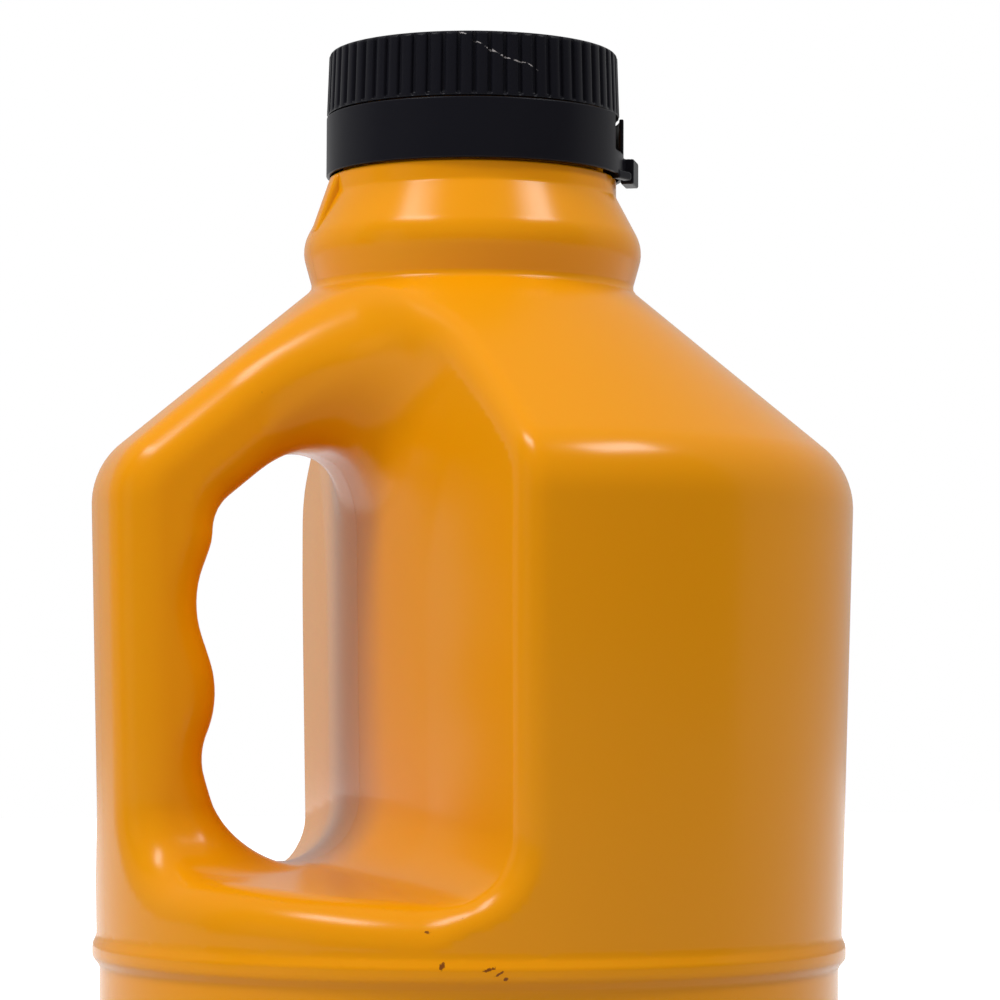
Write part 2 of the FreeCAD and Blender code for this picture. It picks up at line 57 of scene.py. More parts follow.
Group = bpy.types.ShaderNodeTree
WHITE: Colour = (1.0, 1.0, 1.0, 1.0)
LOG = logging.getLogger("jug")


class Slot(Enum):
    """Names of material slots, listed beside the pieces made here but not given to them."""

    JUG = "jug_plastic"
    CAP = "cap_plastic"


class Body(Enum):
    """The bodies that the pieces made here ride on."""

    JUG = "jug"
    CAP = "cap"


# ---------------------------------------------------------------------------------------------
# Shapes: signed distances and meshes. All in millimetres until a mesh is handed to Blender.


def smooth_step(low: float, high: float, at: Array) -> Array:
    """Eases from 0 below low to 1 above high."""
    share = np.clip((at - low) / (high - low), 0.0, 1.0)
    return share * share * (3.0 - 2.0 * share)


def soft_ramp(at: Array, width: float) -> Array:
    """A ramp that is 0 well below 0 and rises at slope 1 above it, bent over the given width."""
    return 0.5 * (at + np.sqrt(at * at + width * width))


def eased(first: float, last: float, span: Pair, at: Array) -> Array:
    """Goes from a first value to a last one along a span."""
    return first + (last - first) * smooth_step(*span, at)


def round_both(one: Array, other: Array, radius: Array | float) -> Array:
    """Signed distance of what lies inside both, with their common edge rounded.

    Args:
        one: Signed distance of the first, negative inside.
        other: Signed distance of the second.
        radius: Radius of the edge, a number or one for each point.

    Returns:
        The signed distance of the rounded common part.
    """
    outside = np.hypot(np.maximum(one + radius, 0.0), np.maximum(other + radius, 0.0))
    return np.minimum(np.maximum(one, other), -radius) + outside


class Outline:
    """A path of straight runs with rounded corners, and the signed distance to it."""

    def __init__(self, corners: list[Triple]) -> None:
        """Builds the runs and arcs.

        Args:
            corners: Across, up and the corner's round. What lies to the left is the inside.
        """
        points = np.array([corner[:2] for corner in corners])
        leave, arrive = points.copy(), points.copy()
        self.arcs: list[tuple[Array, float, float, Array, Array]] = []
        for i in range(1, len(corners) - 1):
            radius = corners[i][2]
            if radius <= 0.0:
                continue
            back = points[i - 1] - points[i]
            ahead = points[i + 1] - points[i]
            back, ahead = back / np.hypot(*back), ahead / np.hypot(*ahead)
            half = 0.5 * math.acos(np.clip(back @ ahead, -1.0, 1.0))
            arrive[i] = points[i] + back * radius / math.tan(half)
            leave[i] = points[i] + ahead * radius / math.tan(half)
            middle = points[i] + (back + ahead) / np.hypot(*(back + ahead)) * (
                radius / math.sin(half)
            )
            turn = 1.0 if back[0] * ahead[1] - back[1] * ahead[0] < 0.0 else -1.0
            self.arcs.append((middle, radius, turn, arrive[i] - middle, leave[i] - middle))
        self.runs = [(leave[i], arrive[i + 1]) for i in range(len(corners) - 1)]

    def distance(self, across: Array, up: Array) -> Array:
        """Signed distance, negative to the left of the path.

        Args:
            across: First coordinate of the points.
            up: Second coordinate.

        Returns:
            One distance for each point.
        """
        best = np.full(np.shape(across), FAR_OFF)
        signed = np.full(np.shape(across), FAR_OFF)
        for start, end in self.runs:
            run = end - start
            length = float(np.hypot(*run))
            if length < 1e-9:
                continue
            run = run / length
            x, y = across - start[0], up - start[1]
            along = np.clip(x * run[0] + y * run[1], 0.0, length)
            far = np.hypot(x - along * run[0], y - along * run[1])
            side = np.where(run[0] * y - run[1] * x > 0.0, -1.0, 1.0)
            near = far < best
            signed = np.where(near, far * side, signed)
            best = np.where(near, far, best)
        for middle, radius, turn, first, last in self.arcs:
            x, y = across - middle[0], up - middle[1]
            reach = np.hypot(x, y)
            within = (turn * (first[0] * y - first[1] * x) >= 0.0) & (
                turn * (x * last[1] - y * last[0]) >= 0.0
            )
            far = np.where(within, np.abs(reach - radius), FAR_OFF)
            near = far < best
            signed = np.where(near, turn * (reach - radius), signed)
            best = np.where(near, far, best)
        return signed

    def points(self, low: float, step: float) -> Array:
        """Points along the path above a height.

        Args:
            low: Lowest height kept.
            step: Longest step round an arc.

        Returns:
            Rows of across and up.
        """
        rows: list[Array] = []
        arcs = {tuple(np.round(arc[0] + arc[3], 6)): arc for arc in self.arcs}
        for start, end in self.runs:
            rows += [start, end]
            arc = arcs.get(tuple(np.round(end, 6)))
            if arc is None:
                continue
            middle, radius, turn, first, last = arc
            angle = math.acos(np.clip((first @ last) / radius**2, -1.0, 1.0)) * turn
            count = max(2, math.ceil(abs(angle) * radius / step))
            for k in range(1, count):
                c, s = math.cos(angle * k / count), math.sin(angle * k / count)
                rows.append(middle + np.array([c * first[0] - s * first[1], s * first[0] + c * first[1]]))
        path = np.array(rows)
        apart = np.hypot(*np.diff(path, axis=0).T) > 1e-6
        path = path[np.concatenate([[True], apart])]
        return path[path[:, 1] >= low]


OFF_GRID = 0.31  # Share of a step between the grids along X and Y, so no diagonal meets corners.


def surface_net(values: Array, axes: tuple[Array, Array, Array]) -> tuple[Array, Array]:
    """Meshes the zero surface of a field sampled on a grid, one point in each crossed cell.

    Args:
        values: Field at the grid's nodes, negative inside.
        axes: The grid's coordinates along X, Y and Z.

    Returns:
        Points, and four-cornered faces that look outwards.
    """
    shape = tuple(n - 1 for n in values.shape)
    inside = values < 0.0
    crossings, owners, faces, turned = [], [], [], []
    for axis in range(3):
        low = [slice(None)] * 3
        high = [slice(None)] * 3
        low[axis], high[axis] = slice(0, -1), slice(1, None)
        spots = np.argwhere(inside[tuple(low)] != inside[tuple(high)])
        ends = spots.copy()
        ends[:, axis] += 1
        first, last = values[tuple(spots.T)], values[tuple(ends.T)]
        share = first / (first - last)
        place = np.stack([axes[d][spots[:, d]] for d in range(3)], axis=1)
        place[:, axis] += share * (axes[axis][ends[:, axis]] - place[:, axis])
        one, two = (axis + 1) % 3, (axis + 2) % 3
        ring = []
        for step_one, step_two in ((0, 0), (1, 0), (1, 1), (0, 1)):
            cell = spots.copy()
            cell[:, one] -= step_one
            cell[:, two] -= step_two
            held = np.all((cell >= 0) & (cell < shape), axis=1)
            flat = np.ravel_multi_index(np.clip(cell, 0, np.array(shape) - 1).T, shape)
            number = np.where(held, flat, -1)
            crossings.append(place[held])
            owners.append(number[held])
            ring.append(number)
        ring = np.stack(ring, axis=1)
        whole = np.all(ring >= 0, axis=1)
        faces.append(ring[whole])
        turned.append(first[whole] < 0.0)
    owner = np.concatenate(owners)
    cells, index = np.unique(owner, return_inverse=True)
    crossing = np.concatenate(crossings)
    count = np.bincount(index)
    points = np.stack([np.bincount(index, weights=crossing[:, d]) / count for d in range(3)], axis=1)
    quads = np.searchsorted(cells, np.concatenate(faces))
    outward = np.concatenate(turned)
    quads[~outward] = quads[~outward][:, ::-1]
    return points, quads


def added(name: str, data: bpy.types.ID) -> Piece:
    """A new object of some data, linked to the scene."""
    item = bpy.data.objects.new(name, data)
    bpy.context.scene.collection.objects.link(item)
    return item


def build_mesh(name: str, points: Array, faces: list[Array], normals: Array | None = None) -> Piece:
    """Makes a smooth object from points in millimetres and faces.

    Args:
        name: Name of the object.
        points: Its points.
        faces: Arrays of faces, each with one number of corners.
        normals: A normal for each point, where they are known.

    Returns:
        The object, linked to the scene.
    """
    mesh = bpy.data.meshes.new(name)
    loops = np.concatenate([part.ravel() for part in faces])
    sizes = np.concatenate([np.full(len(part), part.shape[1]) for part in faces])
    starts = np.concatenate([[0], np.cumsum(sizes)[:-1]])
    mesh.vertices.add(len(points))
    mesh.vertices.foreach_set("co", (points * MM).ravel())
    mesh.loops.add(len(loops))
    mesh.loops.foreach_set("vertex_index", loops.astype(np.int32))
    mesh.polygons.add(len(sizes))
    mesh.polygons.foreach_set("loop_start", starts.astype(np.int32))
    mesh.polygons.foreach_set("use_smooth", np.full(len(sizes), True))
    mesh.update(calc_edges=True)
    mesh.validate()
    if normals is not None:
        mesh.normals_split_custom_set_from_vertices(normals.tolist())
    return added(name, mesh)


def joined(rings: list[Array]) -> Array:
    """Four-cornered faces between rings of as many points, each ring above the one before."""
    pairs = zip(rings[:-1], rings[1:])
    return np.concatenate([np.column_stack([a, np.roll(a, -1), np.roll(b, -1), b]) for a, b in pairs])


def zipped(outer: Array, inner: Array, at: Array) -> Array:
    """Triangles between two rings of points round Z.

    Args:
        outer: Point numbers of one ring, in the order of their angles.
        inner: Point numbers of the other ring, in the same order.
        at: Coordinates of all the points.

    Returns:
        Triangles that look up when the outer ring is the wider one.
    """
    turn_out = np.unwrap(np.arctan2(at[outer, 1], at[outer, 0]))
    turn_in = np.unwrap(np.arctan2(at[inner, 1], at[inner, 0]))
    turn_in = turn_in - 2.0 * math.pi * np.round((turn_in[0] - turn_out[0]) / (2.0 * math.pi))
    outer, inner = np.append(outer, outer[0]), np.append(inner, inner[0])
    turn_out = np.append(turn_out, turn_out[0] + 2.0 * math.pi)
    turn_in = np.append(turn_in, turn_in[0] + 2.0 * math.pi)
    faces = []
    i = j = 0
    while i < len(outer) - 1 or j < len(inner) - 1:
        if j == len(inner) - 1 or (i < len(outer) - 1 and turn_out[i + 1] <= turn_in[j + 1]):
            faces.append((outer[i], outer[i + 1], inner[j]))
            i += 1
        else:
            faces.append((outer[i], inner[j + 1], inner[j]))
            j += 1
    return np.array(faces)


class Form:
    """A shape given by its signed distance in millimetres, negative inside."""

    def exact(self, points: Array) -> Array:
        """Signed distance at rows of x, y and z."""
        raise NotImplementedError

    def slope(self, points: Array) -> Array:
        """Gradient of the signed distance at points, by central differences."""
        step = 0.02
        rows = []
        for axis in range(3):
            shift = np.zeros(3)
            shift[axis] = step
            rows.append((self.exact(points + shift) - self.exact(points - shift)) / (2 * step))
        return np.stack(rows, axis=1)

    def normals(self, points: Array) -> Array:
        """Outward unit normals at points of the skin."""
        slope = self.slope(points)
        return slope / np.maximum(np.sqrt((slope**2).sum(axis=1)), 1e-9)[:, None]

    def settled(self, points: Array, level: float, rounds: int, reach: float) -> Array:
        """Moves points on to a level of the signed distance.

        Args:
            points: Where they start.
            level: The signed distance wanted.
            rounds: How many steps are taken.
            reach: How far a point may go in one step.

        Returns:
            The moved points.
        """
        for _ in range(rounds):
            slope = self.slope(points)
            size = np.maximum((slope * slope).sum(axis=1), LEAST_SLOPE)
            move = (self.exact(points) - level) / size
            points = points - np.clip(move, -reach, reach)[:, None] * slope
        return points

    def evened(self, points: Array, faces: Array, level: float, reach: float) -> Array:
        """Spreads the points of a net evenly and settles them on a level.

        Args:
            points: The net's points.
            faces: Its four-cornered faces.
            level: The signed distance wanted.
            reach: How far a point may settle in one step.

        Returns:
            The moved points.
        """
        for _ in range(2):
            total = np.zeros_like(points)
            count = np.zeros(len(points))
            for k in range(4):
                here, there = faces[:, k], faces[:, (k + 1) % 4]
                for one, other in ((here, there), (there, here)):
                    for d in range(3):
                        weight = points[other, d]
                        total[:, d] += np.bincount(one, weights=weight, minlength=len(points))
                    count += np.bincount(one, minlength=len(points))
            points = 0.5 * points + 0.5 * total / count[:, None]
            points = self.settled(points, level, 2, reach)
        return self.settled(points, level, 2, reach)


@dataclass
class JugShape(Form):
    """Sizes of the jug and the signed distance to its skin, in millimetres."""

    wall: float = 1.0
    base_rise: float = 5.0
    base_radius: float = 58.0
    stand_radius: float = 66.0
    base_round: float = 3.0
    foot_radius: float = 83.0
    foot_round: float = 9.0
    shoulder_radius: float = 86.3
    shoulder_round: float = 17.4
    cone_slope: float = math.radians(39.6)
    neck_radius: float = 36.2
    neck_height: float = 247.4
    neck_round: float = 2.0
    bulge_radius: float = 38.9
    bulge_height: float = 257.0
    bulge_round: float = 9.0
    collar_radius: float = 32.6
    collar_bottom: float = 268.8
    collar_top: float = 273.0
    # Each roll's height, and the body's radius below it and above it.
    rolls: tuple[Triple, ...] = ((22.0, 82.4, 82.4), (99.2, 82.6, 83.4))
    roll_width: float = 6.8
    roll_proud: float = 0.9
    roll_round: float = 1.4
    pinch_depth: float = 26.8
    pinch_lean: float = math.tan(math.radians(1.0))
    pinch_middle: float = 165.0
    strip_half: float = 15.0
    flare: float = math.tan(math.radians(10.2))
    pinch_floor: float = 119.0
    floor_fall: float = math.tan(math.radians(6.2))
    crease: float = 10.0
    # The wall bends a second time, farther from the parting plane and wider higher up.
    second_half: float = 38.0
    second_height: float = 176.0
    second_rise: float = 0.012
    second_bend: float = 12.0
    second_flare: float = math.tan(math.radians(-2.6))
    second_crease: float = 1.6
    pinch_corner: float = 15.0
    handle_half: float = 17.0
    finger_round: float = 8.0
    arm_depth: float = 22.5
    # The hole's edge on the grip, downwards: across, up and the corner's round.
    grip: tuple[Triple, ...] = (
        (-62.8, 189.2, 12.0),
        (-67.6, 176.0, 22.0),
        (-60.4, 155.5, 23.0),
        (-65.6, 142.5, 14.0),
        (-62.5, 132.5, 14.0),
        (-45.0, 88.0, 0.0),
    )
    grip_corner: float = 10.0
    root_blend: float = 14.0
    arm_blend: float = 26.0
    arm_span: Pair = (150.0, 200.0)
    pocket_blend: float = 36.0
    pocket_span: Pair = (205.0, 232.0)
    handle_edge: float = 9.0
    ridge_edge: float = 5.0
    edge_span: Pair = (-35.0, -25.0)
    arm_end: float = 30.0
    past_collar: float = 40.0
    table_step: float = 0.25
    table_low: float = -12.0
    table_high: float = 292.0
    table_wide: float = 132.0

    def __post_init__(self) -> None:
        """Draws the turned outline and the hole for the fingers."""
        fall = math.tan(self.cone_slope)
        corners = [
            (0.0, self.base_rise, 0.0),
            (self.base_radius, self.base_rise, self.base_round),
            (self.stand_radius, 0.0, self.base_round),
            (self.foot_radius, 0.0, self.foot_round),
        ]
        for height, below, above in self.rolls:
            proud = above + self.roll_proud
            roll = ((below, -1 / 2), (proud, -1 / 5), (proud, 1 / 5), (above, 1 / 2))
            corners += [
                (radius, height + share * self.roll_width, self.roll_round) for radius, share in roll
            ]
        shoulder = self.neck_height - (self.shoulder_radius - self.neck_radius) * fall
        corners += [
            (self.shoulder_radius, shoulder, self.shoulder_round),
            (self.neck_radius, self.neck_height, self.neck_round),
            (self.bulge_radius, self.bulge_height, self.bulge_round),
            (self.collar_radius, self.collar_bottom, self.neck_round),
            (self.collar_radius, self.collar_top + self.past_collar, 0.0),
        ]
        self.turned = Outline(corners)
        arm = ((self.arm_end, 0.0), (self.grip[0][0] + 0.1, self.grip_corner))
        self.hole = Outline([*((x, self.under_arm(x), size) for x, size in arm), *self.grip])
        radii = np.arange(0.0, self.table_wide, self.table_step)
        heights = np.arange(self.table_low, self.table_high, self.table_step)
        self.table = self.turned.distance(*np.meshgrid(radii, heights, indexing="ij"))

    def under_arm(self, across: float) -> float:
        """Height of the arm's underside at a place along X."""
        cone = self.neck_height + (across + self.neck_radius) * math.tan(self.cone_slope)
        return cone - self.arm_depth / math.cos(self.cone_slope)

    def turned_quickly(self, radius: Array, height: Array) -> Array:
        """The turned body's distance, read from a table."""
        i = np.clip(radius / self.table_step, 0, self.table.shape[0] - 1.001)
        j = np.clip((height - self.table_low) / self.table_step, 0, self.table.shape[1] - 1.001)
        a, b = i.astype(int), j.astype(int)
        i, j = i - a, j - b
        low = self.table[a, b] * (1 - i) + self.table[a + 1, b] * i
        high = self.table[a, b + 1] * (1 - i) + self.table[a + 1, b + 1] * i
        return low * (1 - j) + high * j

    def skin(self, x: Array, y: Array, z: Array, turned: Array, hole: Array) -> Array:
        """Signed distance to the outside of the jug, negative inside.

        Args:
            x: Places along X, like y and z in arrays that go together.
            y: Places across the parting plane.
            z: Heights.
            turned: Signed distance to the turned body there.
            hole: Signed distance to the hole's outline there.

        Returns:
            The signed distance to the skin.
        """
        off = np.abs(y)
        bend = soft_ramp(off - self.strip_half, self.crease)
        wall = -self.pinch_depth - (z - self.pinch_middle) * self.pinch_lean + self.flare * bend
        rise = self.second_rise * soft_ramp(z - self.second_height, self.second_bend) ** 2
        second = off - self.second_half - rise
        wall = wall + self.second_flare * soft_ramp(second, self.second_crease)
        floor = self.pinch_floor - self.floor_fall * bend
        pinch = round_both(x - wall, floor - z, self.pinch_corner)
        bar = round_both(-hole, off - self.handle_half, self.finger_round)
        blend = eased(self.root_blend, self.arm_blend, self.arm_span, z)
        blend = blend + eased(0.0, self.pocket_blend - self.arm_blend, self.pocket_span, z)
        air = round_both(pinch, -bar, blend)
        edge = eased(self.handle_edge, self.ridge_edge, self.edge_span, x)
        return round_both(turned, -air, edge)

    def exact(self, points: Array) -> Array:
        """Signed distance to the skin at any points.

        Args:
            points: Rows of x, y and z.

        Returns:
            One distance for each row.
        """
        x, y, z = points.T
        turned = self.turned.distance(np.hypot(x, y), z)
        return self.skin(x, y, z, turned, self.hole.distance(x, z))


# ---------------------------------------------------------------------------------------------
# Finishes.


class Nodes:
    """A node tree under construction, with short ways to add and join nodes."""

    def __init__(self, tree: bpy.types.NodeTree) -> None:
        """Starts on a tree."""
        self.tree = tree

    def fed(self, item: bpy.types.Node, inputs: dict[str | int, object]) -> bpy.types.Node:
        """Gives a node's inputs their values, or joins them to sockets."""
        for key, given in inputs.items():
            if isinstance(given, Socket):
                self.tree.links.new(given, item.inputs[key])
            else:
                item.inputs[key].default_value = given
        return item

    def node(
        self, kind: str, inputs: dict[str | int, object] | None = None, **settings: object
    ) -> bpy.types.Node:
        """Adds a node.

        Args:
            kind: The node's type, without its ShaderNode.
            inputs: Values or sockets by the input's name or place.
            settings: Plain settings of the node.

        Returns:
            The node.
        """
        item = self.tree.nodes.new("ShaderNode" + kind)
        for key, setting in settings.items():
            setattr(item, key, setting)
        return self.fed(item, inputs or {})

    def maths(self, operation: str, one: object, other: object = 0.0) -> Socket:
        """The result of a sum of two values or sockets."""
        return self.node("Math", {0: one, 1: other}, operation=operation).outputs[0]

    def length(self, vector: Socket) -> Socket:
        """The length of a vector."""
        return self.node("VectorMath", {0: vector}, operation="LENGTH").outputs["Value"]

    def noise(self, place: Socket, **inputs: object) -> Socket:
        """A noise of 0 to 1 at a place."""
        return self.node("TexNoise", {"Vector": place, **inputs}).outputs["Fac"]

    def mapped(self, at: object, inputs: dict[str, object], smooth: bool = False) -> Socket:
        """A value carried from one range to another.

        Args:
            at: The value.
            inputs: Ends of the two ranges by name; each range is 0 to 1 if not given.
            smooth: Whether the change is eased at both ends.

        Returns:
            The carried value.
        """
        kind = "SMOOTHSTEP" if smooth else "LINEAR"
        return self.node("MapRange", {"Value": at, **inputs}, interpolation_type=kind).outputs["Result"]

    def ramp(self, at: object, low: object, high: object) -> Socket:
        """0 at low and 1 at high, smoothly."""
        return self.mapped(at, {"From Min": low, "From Max": high}, smooth=True)


class Effect(Nodes):
    """A node group under construction, that takes a place and gives one value."""

    def __init__(self, name: str, **inputs: float | Triple) -> None:
        """Starts a group.

        Args:
            name: Its name.
            inputs: Default of each input after Place, by name with _ for a space.
        """
        super().__init__(bpy.data.node_groups.new(name, "ShaderNodeTree"))
        start = self.tree.nodes.new("NodeGroupInput")
        names = ["Place"] + [key.replace("_", " ") for key in inputs]
        for key, default in zip(names, [(0.0, 0.0, 0.0), *inputs.values()]):
            kind = "NodeSocketFloat" if isinstance(default, float) else "NodeSocketVector"
            socket = self.tree.interface.new_socket(key, in_out="INPUT", socket_type=kind)
            socket.default_value = default
        self.inputs = [start.outputs[key] for key in names]

    def giving(self, name: str, value: Socket) -> Group:
        """Gives the value as the group's output and returns the finished group."""
        self.tree.interface.new_socket(name, in_out="OUTPUT", socket_type="NodeSocketFloat")
        self.tree.links.new(value, self.tree.nodes.new("NodeGroupOutput").inputs[name])
        return self.tree


def grain_effect() -> Group:
    """Height of a moulded skin in metres: fine grain, and the slow waves of a cooled wall."""
    effect = Effect(
        "moulded_grain", Fine_Scale=900.0, Fine_Height=0.00001, Wave_Scale=22.0, Wave_Height=0.0002
    )
    place, fine, fine_tall, wave, wave_tall = effect.inputs
    small = effect.maths("MULTIPLY", effect.noise(place, Scale=fine, Detail=3.0), fine_tall)
    large = effect.maths("MULTIPLY", effect.noise(place, Scale=wave, Detail=1.0), wave_tall)
    return effect.giving("Height", effect.maths("ADD", small, large))


def specks_effect() -> Group:
    """Mask of sparse small specks with ragged edges."""
    effect = Effect("sparse_specks", Scale=400.0, Size=0.16, Share=0.03)
    place, scale, size, share = effect.inputs
    ragged = effect.noise(place, Scale=effect.maths("MULTIPLY", scale, 3.0))
    cells = effect.node("TexVoronoi", {"Vector": place, "Scale": scale})
    chosen = effect.node("SeparateColor", {"Color": cells.outputs["Color"]})
    kept = effect.maths("LESS_THAN", chosen.outputs["Red"], share)
    far = effect.maths("ADD", cells.outputs["Distance"], effect.maths("MULTIPLY", ragged, 0.25))
    inside = effect.maths("SUBTRACT", 1.0, effect.ramp(far, size, effect.maths("ADD", size, 0.12)))
    return effect.giving("Mask", effect.maths("MULTIPLY", inside, kept))


def mark_effect() -> Group:
    """Mask of one long mark with a broken edge, placed and turned in the piece's own frame."""
    nowhere = (0.0, 0.0, 0.0)
    size = (0.002, 0.002, 0.002)
    effect = Effect("single_mark", Middle=nowhere, Turn=nowhere, Size=size, Broken=0.5)
    place, middle, turn, size, broken = effect.inputs
    frame_of_mark = {"Vector": place, "Location": middle, "Rotation": turn, "Scale": size}
    own = effect.node("Mapping", frame_of_mark, vector_type="TEXTURE")
    ragged = effect.noise(place, Scale=1600.0, Detail=2.0, Roughness=0.7)
    swing = effect.maths("SUBTRACT", ragged, 0.5)
    swing = effect.maths("MULTIPLY", swing, effect.maths("MULTIPLY", broken, 4.0))
    far = effect.maths("ADD", effect.length(own.outputs[0]), swing)
    return effect.giving("Mask", effect.maths("SUBTRACT", 1.0, effect.ramp(far, 0.7, 1.0)))


def edge_effect() -> Group:
    """Mask of outer edges that handling has polished, broken up by a slow noise."""
    effect = Effect("handled_edges", Start=0.52, Full=0.6)
    place, start, full = effect.inputs
    edges = effect.ramp(effect.node("NewGeometry").outputs["Pointiness"], start, full)
    patches = effect.ramp(effect.noise(place, Scale=90.0, Detail=4.0), 0.35, 0.65)
    return effect.giving("Mask", effect.maths("MULTIPLY", edges, patches))


def linear(red: int, green: int, blue: int) -> Colour:
    """A display colour of 0 to 255 as a linear one."""
    parts = [
        c / 12.92 if c <= 0.04045 else ((c + 0.055) / 1.055) ** 2.4
        for c in (red / 255.0, green / 255.0, blue / 255.0)
    ]
    return (parts[0], parts[1], parts[2], 1.0)


@dataclass(frozen=True)
class Mark:
    """Where one mark lies on a piece, in millimetres and degrees of the piece's own frame."""

    middle: Triple
    size: Triple
    turn: Triple = (0.0, 0.0, 0.0)
    broken: float = 0.5


@dataclass(frozen=True)
class Effects:
    """The node groups that the materials share."""

    grain: Group
    specks: Group
    mark: Group
    edges: Group


class Shader(Nodes):
    """A material under construction, around its Principled BSDF."""

    def __init__(self, name: str) -> None:
        """Starts a material that holds a Principled BSDF and its output."""
        self.material = bpy.data.materials.new(name)
        self.material.use_nodes = True
        super().__init__(self.material.node_tree)
        self.principled = self.tree.nodes["Principled BSDF"]

    @cached_property
    def place(self) -> Socket:
        """The piece's own coordinates."""
        return self.node("TexCoord").outputs["Object"]

    def set(self, **values: object) -> None:
        """Sets the shader's own inputs by name, with _ for a space."""
        self.fed(self.principled, {key.replace("_", " "): given for key, given in values.items()})

    def placed(self, group: Group, **inputs: object) -> Socket:
        """Adds a node group at the piece's own place and returns its output."""
        named = {key.replace("_", " "): given for key, given in inputs.items()}
        return self.node("Group", {"Place": self.place, **named}, node_tree=group).outputs[0]

    def marked(self, group: Group, marks: tuple[Mark, ...]) -> Socket:
        """One mask of several marks."""
        total: object = 0.0
        for mark in marks:
            mask = self.placed(
                group,
                Middle=[MM * part for part in mark.middle],
                Turn=[math.radians(part) for part in mark.turn],
                Size=[MM * part for part in mark.size],
                Broken=mark.broken,
            )
            total = self.maths("MAXIMUM", total, mask)
        return total

    def tinted(self, base: object, tint: object, mask: Socket) -> Socket:
        """A colour changed to another where the mask says."""
        return self.node("Mix", {"Factor": mask, 6: base, 7: tint}, data_type="RGBA").outputs[2]

    def bumped(self, height: Socket) -> None:
        """Lets a height in metres shape the surface's light."""
        bump = self.node("Bump", {"Strength": 1.0, "Distance": 1.0, "Height": height})
        self.set(Normal=bump.outputs["Normal"])


@dataclass(frozen=True)
class BlownPlastic:
    """Coloured polyethylene as it comes out of a blow mould, with the dirt of its shelf life."""

    colour: Colour
    pale: Colour
    dirt: Colour
    marks: tuple[Mark, ...] = ()
    roughness: Pair = (0.17, 0.26)
    parting: float = 0.00025
    parting_tall: float = 0.00005

    def material(self, name: str, effects: Effects) -> bpy.types.Material:
        """The finished material."""
        shader = Shader(name)
        shader.set(Specular_IOR_Level=0.16, Subsurface_Weight=0.08, Subsurface_Scale=0.003)
        edges = shader.placed(effects.edges, Start=0.53, Full=0.62)
        slow = shader.placed(effects.grain, Fine_Scale=7.0, Fine_Height=1.0, Wave_Height=0.0)
        specks = shader.placed(effects.specks, Scale=260.0, Size=0.1, Share=0.008)
        marks = shader.marked(effects.mark, self.marks)
        dirt = shader.maths("MAXIMUM", marks, shader.maths("MULTIPLY", specks, 0.5))
        body = shader.tinted(self.colour, self.pale, shader.maths("MULTIPLY", slow, 0.25))
        worn = shader.tinted(body, self.pale, shader.maths("MULTIPLY", edges, 0.5))
        rough = {"To Min": self.roughness[0], "To Max": self.roughness[1]}
        shader.set(
            Base_Color=shader.tinted(worn, self.dirt, dirt),
            Roughness=shader.mapped(shader.maths("MAXIMUM", slow, dirt), rough),
        )
        skin = shader.placed(
            effects.grain, Fine_Scale=1400.0, Fine_Height=0.000006, Wave_Scale=26.0, Wave_Height=0.00022
        )
        shader.bumped(shader.maths("ADD", skin, self.parting_line(shader)))
        return shader.material

    def parting_line(self, shader: Shader) -> Socket:
        """Height of the fine line where the two halves of the mould met."""
        axes = shader.node("SeparateXYZ", {"Vector": shader.place})
        far = shader.maths("ABSOLUTE", axes.outputs["Y"])
        ends = {"From Max": self.parting, "To Min": self.parting_tall, "To Max": 0.0}
        return shader.mapped(far, ends, smooth=True)


@dataclass(frozen=True)
class MouldedPlastic:
    """Injection-moulded plastic with a fine skin, rubbed edges and light scuffs."""

    colour: Colour
    rubbed: Colour
    scuff: Colour
    marks: tuple[Mark, ...] = ()
    roughness: Pair = (0.3, 0.42)
    specular: float = 0.1

    def material(self, name: str, effects: Effects) -> bpy.types.Material:
        """The finished material."""
        shader = Shader(name)
        shader.set(Specular_IOR_Level=self.specular)
        edges = shader.placed(effects.edges, Start=0.54, Full=0.66)
        slow = shader.placed(effects.grain, Fine_Scale=60.0, Fine_Height=1.0, Wave_Height=0.0)
        specks = shader.placed(effects.specks, Scale=700.0, Size=0.08, Share=0.01)
        dust = shader.maths("MULTIPLY", specks, 0.5)
        rubbed = shader.tinted(self.colour, self.rubbed, shader.maths("MULTIPLY", edges, 0.7))
        scuffed = shader.maths("MAXIMUM", shader.marked(effects.mark, self.marks), dust)
        rough = {"To Min": self.roughness[0], "To Max": self.roughness[1]}
        shader.set(
            Base_Color=shader.tinted(rubbed, self.scuff, scuffed),
            Roughness=shader.mapped(shader.maths("MAXIMUM", slow, scuffed), rough),
        )
        skin = shader.placed(
            effects.grain, Fine_Scale=2200.0, Fine_Height=0.000008, Wave_Scale=70.0, Wave_Height=0.00002
        )
        shader.bumped(skin)
        return shader.material


@dataclass(frozen=True)
class Foam:
    """Closed-cell foam of a cap liner."""

    colour: Colour
    shade: Colour

    def material(self, name: str, effects: Effects) -> bpy.types.Material:
        """The finished material."""
        shader = Shader(name)
        cells = shader.placed(effects.grain, Fine_Scale=1800.0, Fine_Height=1.0, Wave_Height=0.0)
        worn = shader.tinted(self.colour, self.shade, cells)
        shader.set(Roughness=0.75, Specular_IOR_Level=0.25, Base_Color=worn)
        shader.bumped(shader.placed(effects.grain, Fine_Scale=1800.0, Fine_Height=0.00004))
        return shader.material


# ---------------------------------------------------------------------------------------------
# Pieces.


